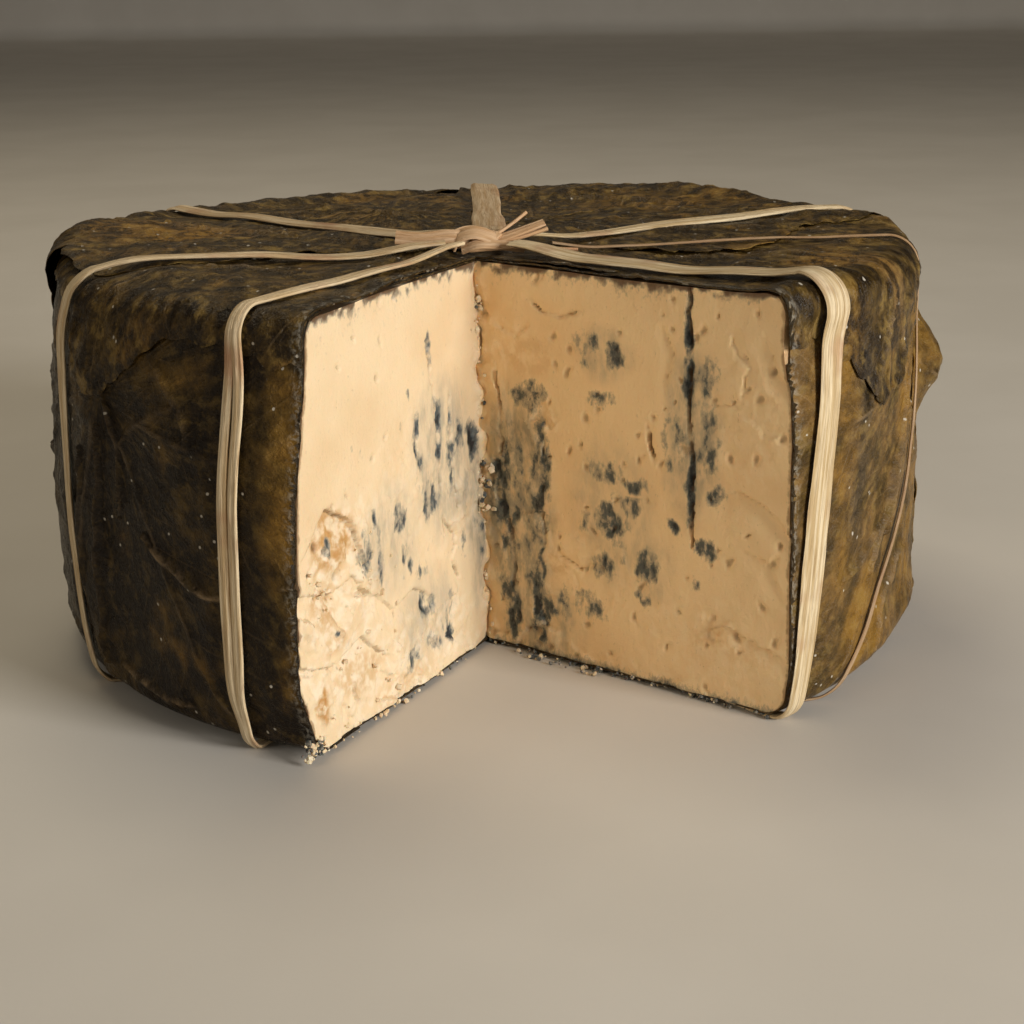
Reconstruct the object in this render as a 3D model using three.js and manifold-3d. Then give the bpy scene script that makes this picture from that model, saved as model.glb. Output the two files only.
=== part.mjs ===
// A wheel of blue cheese wrapped in vine leaves and tied with raffia, with a wedge cut out of it.
// Millimetres, +Z up. The wheel's axis is the Z axis, and the base strands of the tie lie on z = 0.

import * as THREE from "three";
import { mergeVertices } from "three/addons/utils/BufferGeometryUtils.js";
import Module from "manifold-3d";

const wasm = await Module();
wasm.setup();

// Driving dimensions of the wheel
const wheelRadius = 92;
const wheelTop = 85;
const topRounding = 5;
const baseRounding = 4.5;
const topFall = 1.6;

// The rim has slumped on the left, and the side bulges beside the cut and, like a barrel's, to left and right.
// Bearings and reaches are degrees. A bulge is full at its drop below the rim, and fades from its foot downwards.
const slump = { bearing: -152, reach: 36, depth: 4, spread: 10 };
const bulges = [
  { bearing: -110, reach: 34, height: 4.5, drop: 35, foot: 12 },
  { bearing: -50, reach: 24, height: 2, drop: 20, foot: 12 },
  { bearing: -170, reach: 40, height: 1.8, drop: 50, foot: 4 },
  { bearing: 0, reach: 50, height: 1.8, drop: 50, foot: 4 },
];

// Driving dimensions of the wrap and the tie
const leafThickness = 0.5;
const clearance = 0.3;
const leafPitch = leafThickness + clearance;
const strandThickness = 0.6;
const strandLift = 0.4;
const knotRise = 1.6;
const wrapBase = strandThickness + clearance;

// The cut: its inner edge leans a little, and each face runs out from it at its own bearing
const cut = {
  top: new THREE.Vector2(-1.4, -30.6),
  base: new THREE.Vector2(0, -26.8),
  leftBearing: -117.5,
  rightBearing: -37.4,
};

// The knot on top and the crossing underneath
const knot = { x: -0.5, y: -26, radius: 9 };
const crossing = { x: 0, y: -6, radius: 11 };

// Sampling of the wheel's surface: one grid that the paste and every leaf share, so that they nest
const sectors = 36;
const rows = { top: 4, edge: 3, side: 4, base: 4 };

const radians = THREE.MathUtils.degToRad;
const smooth = (x) => THREE.MathUtils.smoothstep(x, 0, 1);
const turnBetween = (a, b) => THREE.MathUtils.euclideanModulo(a - b + Math.PI, 2 * Math.PI) - Math.PI;

// Lengths along the wheel's profile, from the middle of the top, over the rim, down and in to the middle of the base
const topEnd = wheelRadius - topRounding;
const sideStart = topEnd + (topRounding * Math.PI) / 2;
const sideEnd = sideStart + (wheelTop - topRounding) - (wrapBase + baseRounding);
const baseStart = sideEnd + (baseRounding * Math.PI) / 2;
const profileEnd = baseStart + (wheelRadius - baseRounding);

// The profile's point and outward normal at a length along it, as [radius, height, normal out, normal up]
function profile(s) {
  if (s <= topEnd) return [s, wheelTop, 0, 1];
  if (s <= sideStart) {
    const a = Math.PI / 2 - (s - topEnd) / topRounding;
    const [out, up] = [Math.cos(a), Math.sin(a)];
    return [topEnd + topRounding * out, wheelTop - topRounding + topRounding * up, out, up];
  }
  if (s <= sideEnd) return [wheelRadius, wheelTop - topRounding - (s - sideStart), 1, 0];
  if (s <= baseStart) {
    const a = (s - sideEnd) / baseRounding;
    const [out, down] = [Math.cos(a), Math.sin(a)];
    const centre = wheelRadius - baseRounding;
    return [centre + baseRounding * out, wrapBase + baseRounding * (1 - down), out, -down];
  }
  return [profileEnd - s, wrapBase, 0, -1];
}

// 1 at a bearing, falling to 0 at its reach on either side
const nearBearing = (theta, place) =>
  1 - smooth(Math.abs(turnBetween(theta, radians(place.bearing))) / radians(place.reach));

// How far the side bulges and the rim has slumped
function bulge(theta, s) {
  let height = 0;
  for (const place of bulges) {
    const below = smooth((s - sideStart) / place.drop);
    const above = 1 - smooth((s - sideEnd + place.foot) / (place.foot + 4));
    height += place.height * nearBearing(theta, place) * below * above;
  }
  return height;
}

function slumpAt(theta, s) {
  const fromRim = (s - (topEnd + sideStart) / 2) / slump.spread;
  return slump.depth * nearBearing(theta, slump) * Math.exp(-fromRim * fromRim);
}

// Slow lumps of the wheel's outside, which fade to nothing on the base. The top falls a little towards the back.
function waves(theta, s) {
  const around = 0.5 * Math.sin(2 * theta + 0.7) + 0.35 * Math.sin(5 * theta + 1.9);
  const along = Math.sin(3 * theta + s / 23) + 0.7 * Math.sin(7 * theta - s / 15);
  const onTop = s < topEnd ? smooth(s / topEnd) : 1;
  const fall = topFall * Math.max(0, Math.sin(theta)) * Math.min(1, s / topEnd) * (1 - smooth((s - topEnd) / 30));
  const lumps = (around + 0.4 * along) * onTop - fall - slumpAt(theta, s);
  return lumps * (1 - smooth((s - sideEnd + 12) / 12)) + bulge(theta, s);
}

// A point on the wheel, at a bearing, a length along the profile and a height above its smooth surface
function wheelPoint(theta, s, height) {
  const [radius, z, out, up] = profile(s);
  const r = radius + out * height;
  return new THREE.Vector3(r * Math.cos(theta), r * Math.sin(theta), z + up * height);
}

// How a leaf's flat outline is laid on the wheel: leaf x and y, in millimetres, to a bearing and a profile length
const layings = {
  top: (leaf, x, y) => {
    const [px, py] = [leaf.x + x, leaf.y + y];
    return [Math.atan2(py, px), Math.hypot(px, py)];
  },
  side: (leaf, x, y) => [radians(leaf.bearing) + x / wheelRadius, sideStart + leaf.drop - y],
  base: (leaf, x, y) => {
    const [px, py] = [leaf.x - x, leaf.y + y];
    return [Math.atan2(py, px), profileEnd - Math.hypot(px, py)];
  },
};

// The way back: a point of the wheel in the leaf's own flat frame
const unlayings = {
  top: (leaf, theta, s) => [s * Math.cos(theta) - leaf.x, s * Math.sin(theta) - leaf.y],
  side: (leaf, theta, s) => [
    turnBetween(theta, radians(leaf.bearing)) * wheelRadius,
    sideStart + leaf.drop - s,
  ],
  base: (leaf, theta, s) => {
    const r = profileEnd - s;
    return [leaf.x - r * Math.cos(theta), r * Math.sin(theta) - leaf.y];
  },
};

// The vine leaves, from the first laid to the last. size is from the middle to the tip of the longest lobe,
// and tip is the bearing of that lobe in the leaf's flat frame.
const leaves = [
  { name: "leaf_base", laid: "base", x: 0, y: 4, size: 96, tip: 70 },
  { name: "leaf_side_left", laid: "side", bearing: 177, drop: 39, size: 68, tip: 95 },
  { name: "leaf_side_back", laid: "side", bearing: 77, drop: 38, size: 67, tip: 80 },
  { name: "leaf_side_front_right", laid: "side", bearing: -24, drop: 38, size: 68, tip: 235 },
  { name: "leaf_side_front_left", laid: "side", bearing: -134, drop: 39, size: 68, tip: -60 },
  { name: "leaf_side_back_left", laid: "side", bearing: 127, drop: 38, size: 67, tip: 265 },
  { name: "leaf_side_back_right", laid: "side", bearing: 27, drop: 38, size: 67, tip: 100 },
  { name: "leaf_top_front_right", laid: "top", x: 42, y: -26, size: 63, tip: -30 },
  { name: "leaf_top_back_right", laid: "top", x: 31, y: 38, size: 65, tip: 50 },
  { name: "leaf_top_front_left", laid: "top", x: -36, y: -29, size: 63, tip: 216 },
  { name: "leaf_top_back_left", laid: "top", x: -50, y: 24, size: 67, tip: 190 },
];

// Where a leaf's edge has come away from the wheel: a hollow fold at the left rim, and a loose lobe at the right
const lifts = {
  leaf_top_back_left: { bearing: -170, s: topEnd + 7, reach: 26, height: 3.4 },
  leaf_side_back_right: { bearing: -1, s: sideStart + 22, reach: 15, height: 8 },
};

// Half-width of a leaf in a direction of its flat frame: five lobes, with a notch at the stalk
function leafReach(leaf, angle) {
  const turn = Math.abs(turnBetween(angle, radians(leaf.tip)));
  const lobes = 0.9 + 0.1 * Math.cos(5.8 * turn);
  const notch = 1 - 0.25 * smooth((turn - 2.75) / 0.39);
  return leaf.size * lobes * notch;
}

// 1 under a leaf and a little past its edge, falling to 0 over the next few millimetres
function coverage(leaf, theta, s) {
  const [x, y] = unlayings[leaf.laid](leaf, theta, s);
  const past = Math.hypot(x, y) - leafReach(leaf, Math.atan2(y, x));
  return 1 - smooth((past - 15) / 14);
}

// How far a leaf's edge is lifted at a point of the wheel
function liftOf(leaf, theta, s) {
  const lift = lifts[leaf.name];
  if (!lift) return 0;
  const across = turnBetween(theta, radians(lift.bearing)) * wheelRadius;
  return lift.height * (1 - smooth(Math.hypot(across, s - lift.s) / lift.reach));
}

// The room that the leaves below a given one take up at a point of the wheel
function stackUnder(index, theta, s) {
  let height = 0;
  for (const leaf of leaves.slice(0, index)) {
    height += (leafPitch + liftOf(leaf, theta, s)) * coverage(leaf, theta, s);
  }
  return height;
}

// The paste's own surface. It gives way on the base, so that the wrap's underside is flat.
function pasteHeight(theta, s) {
  const pressed = smooth((s - sideEnd) / (baseStart - sideEnd));
  return waves(theta, s) - pressed * stackUnder(leaves.length, theta, s);
}

const leafUnderside = (index) => (theta, s) =>
  pasteHeight(theta, s) + clearance + stackUnder(index, theta, s) + liftOf(leaves[index], theta, s);

// Lengths along the profile at which the shared grid has its rows, without the two poles
function gridRows() {
  const spans = [
    [0, topEnd, rows.top],
    [topEnd, sideStart, rows.edge],
    [sideStart, sideEnd, rows.side],
    [sideEnd, baseStart, rows.edge],
    [baseStart, profileEnd, rows.base],
  ];
  return spans.flatMap(([from, to, steps]) =>
    Array.from({ length: steps }, (_, i) => from + ((to - from) * (i + 1)) / steps),
  );
}

const gridLengths = gridRows().slice(0, -1);

// A manifold solid from rows of points, each a closed ring, with a pole at each end
function solidFromRings(rings, firstPole, lastPole) {
  const count = rings[0].length;
  const points = [firstPole, ...rings.flat(), lastPole];
  const at = (row, i) => 1 + row * count + (i % count);
  const faces = [];
  for (let i = 0; i < count; i++) {
    faces.push([0, at(0, i), at(0, i + 1)]);
    for (let row = 0; row + 1 < rings.length; row++) {
      faces.push([at(row, i), at(row + 1, i), at(row + 1, i + 1)]);
      faces.push([at(row, i), at(row + 1, i + 1), at(row, i + 1)]);
    }
    faces.push([at(rings.length - 1, i), points.length - 1, at(rings.length - 1, i + 1)]);
  }
  return solidFromFaces(points, faces);
}

function solidFromFaces(points, faces) {
  const mesh = new wasm.Mesh({
    numProp: 3,
    vertProperties: new Float32Array(points.flatMap((p) => [p.x, p.y, p.z])),
    triVerts: new Uint32Array(faces.flat()),
  });
  return new wasm.Manifold(mesh);
}

// The solid inside the wheel's surface when that surface is raised by height(theta, s)
function wheelSolid(height) {
  const bearings = Array.from({ length: sectors }, (_, i) => (2 * Math.PI * i) / sectors);
  const rings = gridLengths.map((s) => bearings.map((theta) => wheelPoint(theta, s, height(theta, s))));
  const top = wheelPoint(0, 0, height(0, 0));
  const bottom = wheelPoint(0, profileEnd, height(0, profileEnd));
  return solidFromRings(rings, top, bottom);
}

// The cut wedge as a solid, its two faces carrying a relief(side, along, z) of crumbs (+) and pits (-)
const cutLevels = { from: -4, to: 100 };
const cutReach = 130;

function wedgeSolid(alongs, levels, relief) {
  const sides = { left: cut.leftBearing, right: cut.rightBearing };
  const rings = [...levels].reverse().map((z) => {
    const edge = cut.base.clone().lerp(cut.top, z / wheelTop);
    const face = (side) => {
      const bearing = radians(sides[side]);
      const out = new THREE.Vector2(Math.cos(bearing), Math.sin(bearing));
      const hollow = side === "left" ? new THREE.Vector2(-out.y, out.x) : new THREE.Vector2(out.y, -out.x);
      return alongs.map((along) => {
        const p = edge.clone().addScaledVector(out, along).addScaledVector(hollow, relief(side, along, z));
        return new THREE.Vector3(p.x, p.y, z);
      });
    };
    const left = face("left");
    const right = face("right");
    const inner = new THREE.Vector3(edge.x, edge.y, z);
    return [inner, ...left, ...right.reverse()];
  });
  const middle = (ring) => ring.reduce((sum, p) => sum.add(p), new THREE.Vector3()).divideScalar(ring.length);
  return solidFromRings(rings, middle(rings[0]), middle(rings[rings.length - 1]));
}

// Relief of the cut faces: larger pits and cracks by place, then a fine crumble that grows where the paste is short
const pits = {
  left: [
    { along: 53, z: 34, radius: 6, depth: 1.6 },
    { along: 50, z: 22, radius: 7, depth: 1.2 },
    { along: 45, z: 9, radius: 5, depth: 1.5 },
    { along: 18, z: 18, radius: 5, depth: 1.4 },
    { along: 8, z: 32, radius: 6, depth: 1.2 },
  ],
  right: [
    { along: 13, z: 12, radius: 6, depth: 1.6 },
    { along: 12, z: 52, radius: 6, depth: 1.0 },
    { along: 40, z: 46, radius: 5, depth: 0.9 },
    { along: 66, z: 60, radius: 6, depth: 0.8 },
  ],
};

function crumble(side, along, z) {
  const wave = Math.sin(along * 1.1 + 2 * Math.sin(z * 0.31)) * Math.sin(z * 0.83 + Math.sin(along * 0.4));
  const shortPaste = side === "left" ? 1 - smooth((z - 20) / 30) : 0.35 * (1 - smooth((z - 6) / 12));
  const nearEdge = 1 - smooth(along / 9);
  return wave * (0.12 + 0.5 * shortPaste + 0.5 * nearEdge);
}

function cutRelief(side, along, z) {
  let height = crumble(side, along, z);
  for (const pit of pits[side]) {
    const away = Math.hypot(along - pit.along, z - pit.z) / pit.radius;
    height -= pit.depth * (1 - smooth(away));
  }
  return height;
}

const steps = (from, to, count) => Array.from({ length: count + 1 }, (_, i) => from + ((to - from) * i) / count);

function pasteSolid() {
  const alongs = [...steps(4.5, 76.5, 16), cutReach];
  const levels = [cutLevels.from, ...steps(1, 85, 16), cutLevels.to];
  return wheelSolid(pasteHeight).subtract(wedgeSolid(alongs, levels, cutRelief));
}

// A cutter as wide as a leaf's outline, reaching through every layer of the wrap
function leafCutter(leaf) {
  const [around, rings] = [30, 5];
  const [inside, outside] = [-5, 14];
  const layer = (height) => {
    const at = (x, y) => wheelPoint(...layings[leaf.laid](leaf, x, y), height);
    const row = (share) =>
      Array.from({ length: around }, (_, i) => {
        const angle = (2 * Math.PI * i) / around;
        const reach = leafReach(leaf, angle) * share;
        return at(reach * Math.cos(angle), reach * Math.sin(angle));
      });
    return { middle: at(0, 0), rows: steps(0, 1, rings).slice(1).map(row) };
  };
  const outer = layer(outside);
  const inner = layer(inside);
  return solidFromRings([...outer.rows, ...inner.rows.reverse()], outer.middle, inner.middle);
}

function leafSolid(index, wedge) {
  const underside = leafUnderside(index);
  const outer = wheelSolid((theta, s) => underside(theta, s) + leafThickness);
  return outer.subtract(wheelSolid(underside)).intersect(leafCutter(leaves[index])).subtract(wedge);
}

// Height of the finished wrap over the wheel's smooth surface, between the shared grid's own points
function wrapHeight(theta, s) {
  const lengths = [0, ...gridLengths, profileEnd];
  const next = Math.max(1, lengths.findIndex((length) => length >= s));
  const down = (s - lengths[next - 1]) / (lengths[next] - lengths[next - 1]);
  const sector = (theta / (2 * Math.PI)) * sectors;
  const around = sector - Math.floor(sector);
  const at = (i, row) => {
    const bearing = (2 * Math.PI * (Math.floor(sector) + i)) / sectors;
    const length = lengths[row];
    return pasteHeight(bearing, length) + stackUnder(leaves.length, bearing, length);
  };
  const { lerp } = THREE.MathUtils;
  const above = lerp(at(0, next - 1), at(1, next - 1), around);
  const below = lerp(at(0, next), at(1, next), around);
  return lerp(above, below, down) + clearance;
}

// The raffia strands. top and base are the bearings at which a strand crosses the two rims, and it leaves the
// knot at start millimetres from its middle. A split strand runs as two ribbons that far apart down the side, and
// a slack one hangs straight at first and swings over low down, by its power of the way down. A strand ends at
// the crossing underneath, or is tucked in at tuck millimetres from its middle.
const strands = [
  { name: "raffia_back", top: 91, base: 93, width: 7.6, start: 9.5 },
  { name: "raffia_back_left", top: 149, base: 147, width: 5, start: 10 },
  { name: "raffia_left", top: -152, base: -149, width: 4.6, start: 10 },
  { name: "raffia_front_left", top: -117.9, base: -118.7, width: 2.6, start: 12, split: 2.8 },
  { name: "raffia_front_right", top: -45.5, base: -50, width: 7.2, start: 10, slack: 1.4 },
  { name: "raffia_right", top: -10, base: -44.5, width: 1.6, start: 20, slack: 2.2, tuck: 60 },
  { name: "raffia_back_right", top: 19, base: 22, width: 4.6, start: 10 },
];

// The middle line of a strand, as bearing and profile length: straight over the top, down the side, straight in
function strandLine(strand) {
  const straight = (hub, bearing, radius, from, count) => {
    const end = new THREE.Vector2(Math.cos(radians(bearing)), Math.sin(radians(bearing))).multiplyScalar(radius);
    const begin = new THREE.Vector2(hub.x, hub.y);
    const out = end.clone().sub(begin);
    return steps(from / out.length(), 1, count).map((share) => begin.clone().addScaledVector(out, share));
  };
  const over = straight(knot, strand.top, topEnd, strand.start, 5).map((p) => [p.angle(), p.length()]);
  const under = straight(crossing, strand.base, profileEnd - baseStart, strand.tuck ?? crossing.radius + 1, 2)
    .map((p) => [p.angle(), profileEnd - p.length()])
    .reverse();
  const [first, last] = [radians(strand.top), radians(strand.base)];
  const edges = [...steps(topEnd, sideStart, 4), ...steps(sideStart, sideEnd, 5).slice(1)];
  const down = [...edges, ...steps(sideEnd, baseStart, 4).slice(1)].slice(1, -1).map((s) => {
    const share = ((s - topEnd) / (baseStart - topEnd)) ** (strand.slack ?? 1);
    return [first + (last - first) * share, s];
  });
  return [...over, ...down, ...under];
}

// A flat ribbon along a line of bearings and profile lengths, just clear of the wrap and flat on z = 0 underneath.
// aside(s) moves it sideways.
function layRibbon(line, width, aside) {
  const middle = line.map(([theta, s]) => wheelPoint(theta, s, 0));
  const rings = line.map(([theta, s], i) => {
    const ahead = middle[Math.min(i + 1, line.length - 1)].clone();
    const along = ahead.sub(middle[Math.max(i - 1, 0)]).normalize();
    const [, , out, up] = profile(s);
    const normal = new THREE.Vector3(out * Math.cos(theta), out * Math.sin(theta), up);
    const across = new THREE.Vector3().crossVectors(along, normal).normalize();
    const half = (width / 2) * (1 + 0.08 * Math.sin(i * 1.7 + width));
    const reach = (half + Math.abs(aside(s))) / Math.max(wheelRadius / 4, Math.hypot(middle[i].x, middle[i].y));
    const free = Math.max(...[-reach, 0, reach].map((turn) => wrapHeight(theta + turn, s)));
    const fromKnot = Math.hypot(middle[i].x - knot.x, middle[i].y - knot.y);
    const rise = s < topEnd ? knotRise * (1 - smooth((fromKnot - knot.radius) / 16)) : 0;
    const low = s >= baseStart ? clearance : free + strandLift + rise;
    const corner = (side, height, ground) => {
      const p = wheelPoint(theta, s, height).addScaledVector(across, side * half + aside(s));
      return p.setZ(Math.max(p.z, ground));
    };
    const high = low + strandThickness;
    const [under, over] = [strandThickness, 0];
    return [corner(1, low, under), corner(1, high, over), corner(-1, high, over), corner(-1, low, under)];
  });
  const centre = (ring) => ring.reduce((sum, p) => sum.add(p), new THREE.Vector3()).divideScalar(ring.length);
  return solidFromRings(rings, centre(rings[0]), centre(rings[rings.length - 1]));
}

function strandSolid(strand) {
  const line = strandLine(strand);
  if (!strand.split) return layRibbon(line, strand.width, () => 0);
  const apart = (s) => {
    const opened = smooth((s - topEnd + 20) / 28) * (1 - smooth((s - sideEnd + 12) / 20));
    return strand.split * (0.15 + 0.35 * opened);
  };
  return layRibbon(line, strand.width, apart).add(layRibbon(line, strand.width, (s) => -apart(s)));
}

// One closed tube of raffia along a list of points, with an oval section
function ribbonSolid(points, width, thickness, closed = false) {
  const curve = new THREE.CatmullRomCurve3(points, closed);
  const section = new THREE.Shape().absellipse(0, 0, thickness / 2, width / 2, 0, 2 * Math.PI);
  const lengths = closed ? points.length * 2 : points.length;
  const options = { steps: lengths, extrudePath: curve, curveSegments: 3, bevelEnabled: false };
  const geometry = new THREE.ExtrudeGeometry(section, options);
  return solidFromGeometry(geometry);
}

function solidFromGeometry(geometry) {
  const bare = geometry.clone();
  bare.deleteAttribute("normal");
  bare.deleteAttribute("uv");
  const merged = mergeVertices(bare, 1e-3);
  const mesh = new wasm.Mesh({
    numProp: 3,
    vertProperties: merged.attributes.position.array,
    triVerts: new Uint32Array(merged.index.array),
  });
  return new wasm.Manifold(mesh);
}

// The free ends of the tie: a bearing from the knot, how far each one reaches, and how far it springs up
const knotEnds = [
  { bearing: 176, reach: 17, rise: 2.2, width: 3.6 },
  { bearing: 32, reach: 18, rise: 6.5, width: 2.2 },
  { bearing: 14, reach: 21, rise: 4, width: 4.4 },
  { bearing: -12, reach: 26, rise: 1.0, width: 2.4 },
];

// The knot: two turns of raffia round each other, and the ends that stand out of them
function knotSolid() {
  const floor = wheelTop + wrapHeight(Math.atan2(knot.y, knot.x), Math.hypot(knot.x, knot.y)) + 0.4;
  const turn = (tilt, radius, height) =>
    steps(0, 2 * Math.PI, 7)
      .slice(0, -1)
      .map((a) => {
        const [x, y] = [radius * Math.cos(a), 0.6 * radius * Math.sin(a)];
        const turned = new THREE.Vector2(x, y).rotateAround(new THREE.Vector2(), radians(tilt));
        return new THREE.Vector3(knot.x + turned.x, knot.y + turned.y, floor + height + 0.9 * Math.sin(2 * a));
      });
  const heart = new THREE.SphereGeometry(1, 8, 5).scale(6.4, 4.4, 2.2);
  heart.translate(knot.x, knot.y, floor + 2.2);
  let solid = solidFromGeometry(heart);
  solid = solid.add(ribbonSolid(turn(15, 6, 2), 3.6, 1.8, true));
  solid = solid.add(ribbonSolid(turn(75, 5.4, 3.2), 3.2, 1.8, true));
  for (const end of knotEnds) {
    const out = new THREE.Vector3(Math.cos(radians(end.bearing)), Math.sin(radians(end.bearing)), 0);
    const points = [0.1, 0.4, 0.7, 1].map((share) => {
      const height = 2.4 + end.rise * share ** 2;
      return new THREE.Vector3(knot.x, knot.y, floor + height).addScaledVector(out, end.reach * share);
    });
    solid = solid.add(ribbonSolid(points, end.width, 1));
  }
  return solid;
}

// Where the strands meet under the wheel: short flat lengths laid across each other
function crossingSolid() {
  let solid;
  for (const bearing of [10, 55, 100, 145]) {
    const length = new THREE.BoxGeometry(2 * crossing.radius - 1, 5.4, strandThickness);
    length.rotateZ(radians(bearing)).translate(crossing.x, crossing.y, strandThickness / 2);
    const piece = solidFromGeometry(length);
    solid = solid ? solid.add(piece) : piece;
  }
  return solid;
}

// A named three.js mesh from a finished solid
function meshFrom(solid, name, material) {
  const mesh = solid.getMesh();
  const positions = new Float32Array(mesh.numVert * 3);
  for (let i = 0; i < mesh.numVert; i++) {
    positions.set(mesh.vertProperties.subarray(i * mesh.numProp, i * mesh.numProp + 3), i * 3);
  }
  const geometry = new THREE.BufferGeometry();
  geometry.setAttribute("position", new THREE.BufferAttribute(positions, 3));
  geometry.setIndex(new THREE.BufferAttribute(mesh.triVerts, 1));
  geometry.computeVertexNormals();
  const made = new THREE.Mesh(geometry, material);
  made.name = name;
  return made;
}

const finishes = {
  paste: new THREE.MeshStandardMaterial({ color: "#e9d3a1", roughness: 0.55, metalness: 0 }),
  leaf: new THREE.MeshStandardMaterial({ color: "#3d2e17", roughness: 0.4, metalness: 0 }),
  raffia: new THREE.MeshStandardMaterial({ color: "#d9b884", roughness: 0.6, metalness: 0 }),
};

const wheel = new THREE.Group();
wheel.add(meshFrom(pasteSolid(), "cheese_paste", finishes.paste));
const cleanCut = wedgeSolid([2, cutReach], [cutLevels.from, cutLevels.to], () => 0);
leaves.forEach((leaf, index) => {
  wheel.add(meshFrom(leafSolid(index, cleanCut), leaf.name, finishes.leaf));
});
for (const strand of strands) wheel.add(meshFrom(strandSolid(strand), strand.name, finishes.raffia));
wheel.add(meshFrom(knotSolid(), "raffia_knot", finishes.raffia));
wheel.add(meshFrom(crossingSolid(), "raffia_crossing", finishes.raffia));

export default wheel;
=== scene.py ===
"""A wheel of blue cheese in vine leaves and raffia, with a wedge cut out of it.

The wheel stands on the plane z = 0 with its axis on Z, and the cut opens towards -Y. Shapes are worked out
in millimetres, as whole arrays, and written to the meshes in metres. A place on the wheel's outside is a
bearing and a length along its profile, from the middle of the top, over the rim, down and in underneath.
"""

import logging
from dataclasses import dataclass, field
from enum import Enum
from math import atan2, cos, pi, radians, sin

import bpy
import numpy as np
from mathutils import Matrix

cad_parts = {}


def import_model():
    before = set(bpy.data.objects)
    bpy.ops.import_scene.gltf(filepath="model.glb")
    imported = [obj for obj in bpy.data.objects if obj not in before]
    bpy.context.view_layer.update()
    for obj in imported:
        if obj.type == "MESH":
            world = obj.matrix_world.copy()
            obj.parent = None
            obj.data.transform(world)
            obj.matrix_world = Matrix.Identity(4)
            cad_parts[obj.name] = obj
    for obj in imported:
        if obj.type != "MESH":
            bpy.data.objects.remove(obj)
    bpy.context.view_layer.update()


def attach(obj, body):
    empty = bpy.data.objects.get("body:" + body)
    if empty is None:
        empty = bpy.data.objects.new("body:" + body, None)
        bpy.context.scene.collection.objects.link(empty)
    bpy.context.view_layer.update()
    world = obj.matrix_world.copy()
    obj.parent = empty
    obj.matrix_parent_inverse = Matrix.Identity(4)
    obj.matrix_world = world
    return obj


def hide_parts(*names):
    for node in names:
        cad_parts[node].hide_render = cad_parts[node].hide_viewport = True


Array = np.ndarray
Triple = tuple[float, float, float]
Socket = bpy.types.NodeSocket
Material = bpy.types.Material
Piece = bpy.types.Object
Mesh = bpy.types.Mesh
log = logging.getLogger("cheese")

MILLIMETRE = 0.001
FULL_TURN = 2 * pi


def smooth(x: Array) -> Array:
    """A step from 0 to 1 as x goes from 0 to 1, level at both ends: 3x^2 - 2x^3."""
    x = np.clip(x, 0.0, 1.0)
    return x * x * (3 - 2 * x)


def turn_between(a: Array, b: Array) -> Array:
    """The signed angle from b to a, between minus and plus half a turn."""
    return np.mod(a - b + pi, FULL_TURN) - pi


def along_bearing(degrees: float) -> Array:
    """The unit vector in the XY plane at a bearing from +X."""
    return np.array([cos(radians(degrees)), sin(radians(degrees))])


def at_level(x: Array, y: Array, level: float) -> Array:
    """Places on a plane as points of space, for noise. Each level is a sheet of its own."""
    return np.stack([x, y, np.full(x.shape, float(level))], axis=-1)


def unit(vectors: Array) -> Array:
    """Vectors brought to length 1."""
    return vectors / np.linalg.norm(vectors, axis=-1, keepdims=True)


class Lumps:
    """Seeded smooth noise in space, worked out for whole arrays of points."""

    PERIOD = 37

    def __init__(self, seed: int) -> None:
        """Draws the values at the corners.

        Args:
            seed: the number that the draw starts from.
        """
        self.corners = np.random.default_rng(seed).uniform(-1, 1, (self.PERIOD,) * 3)

    def at(self, points: Array, size: float) -> Array:
        """Noise from -1 to 1: the values at the corners of cubes, blended by a smooth step on each axis.

        Args:
            points: places, the last axis holding x, y and z.
            size: the side of a cube, in the unit of the places.

        Returns:
            One value for each place.
        """
        place = points / size + size * 0.37
        cell = np.floor(place).astype(int)
        part = smooth(place - cell)
        total = np.zeros(points.shape[:-1])
        for corner in np.ndindex(2, 2, 2):
            share = np.prod(np.where(np.array(corner, bool), part, 1 - part), axis=-1)
            i, j, k = np.moveaxis((cell + corner) % self.PERIOD, -1, 0)
            total += share * self.corners[i, j, k]
        return total

    def layered(self, points: Array, size: float, layers: int = 3) -> Array:
        """Noise of a size, plus half as much of half the size, and so on."""
        return sum(self.at(points, size / 2**n) / 2**n for n in range(layers))

    def creases(self, points: Array, size: float, power: float = 4) -> Array:
        """Ridges from 0 to 1, where the noise changes its sign: (1 - |noise|) to a power."""
        return (1 - np.minimum(1, np.abs(self.at(points, size)) * 1.6)) ** power


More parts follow.
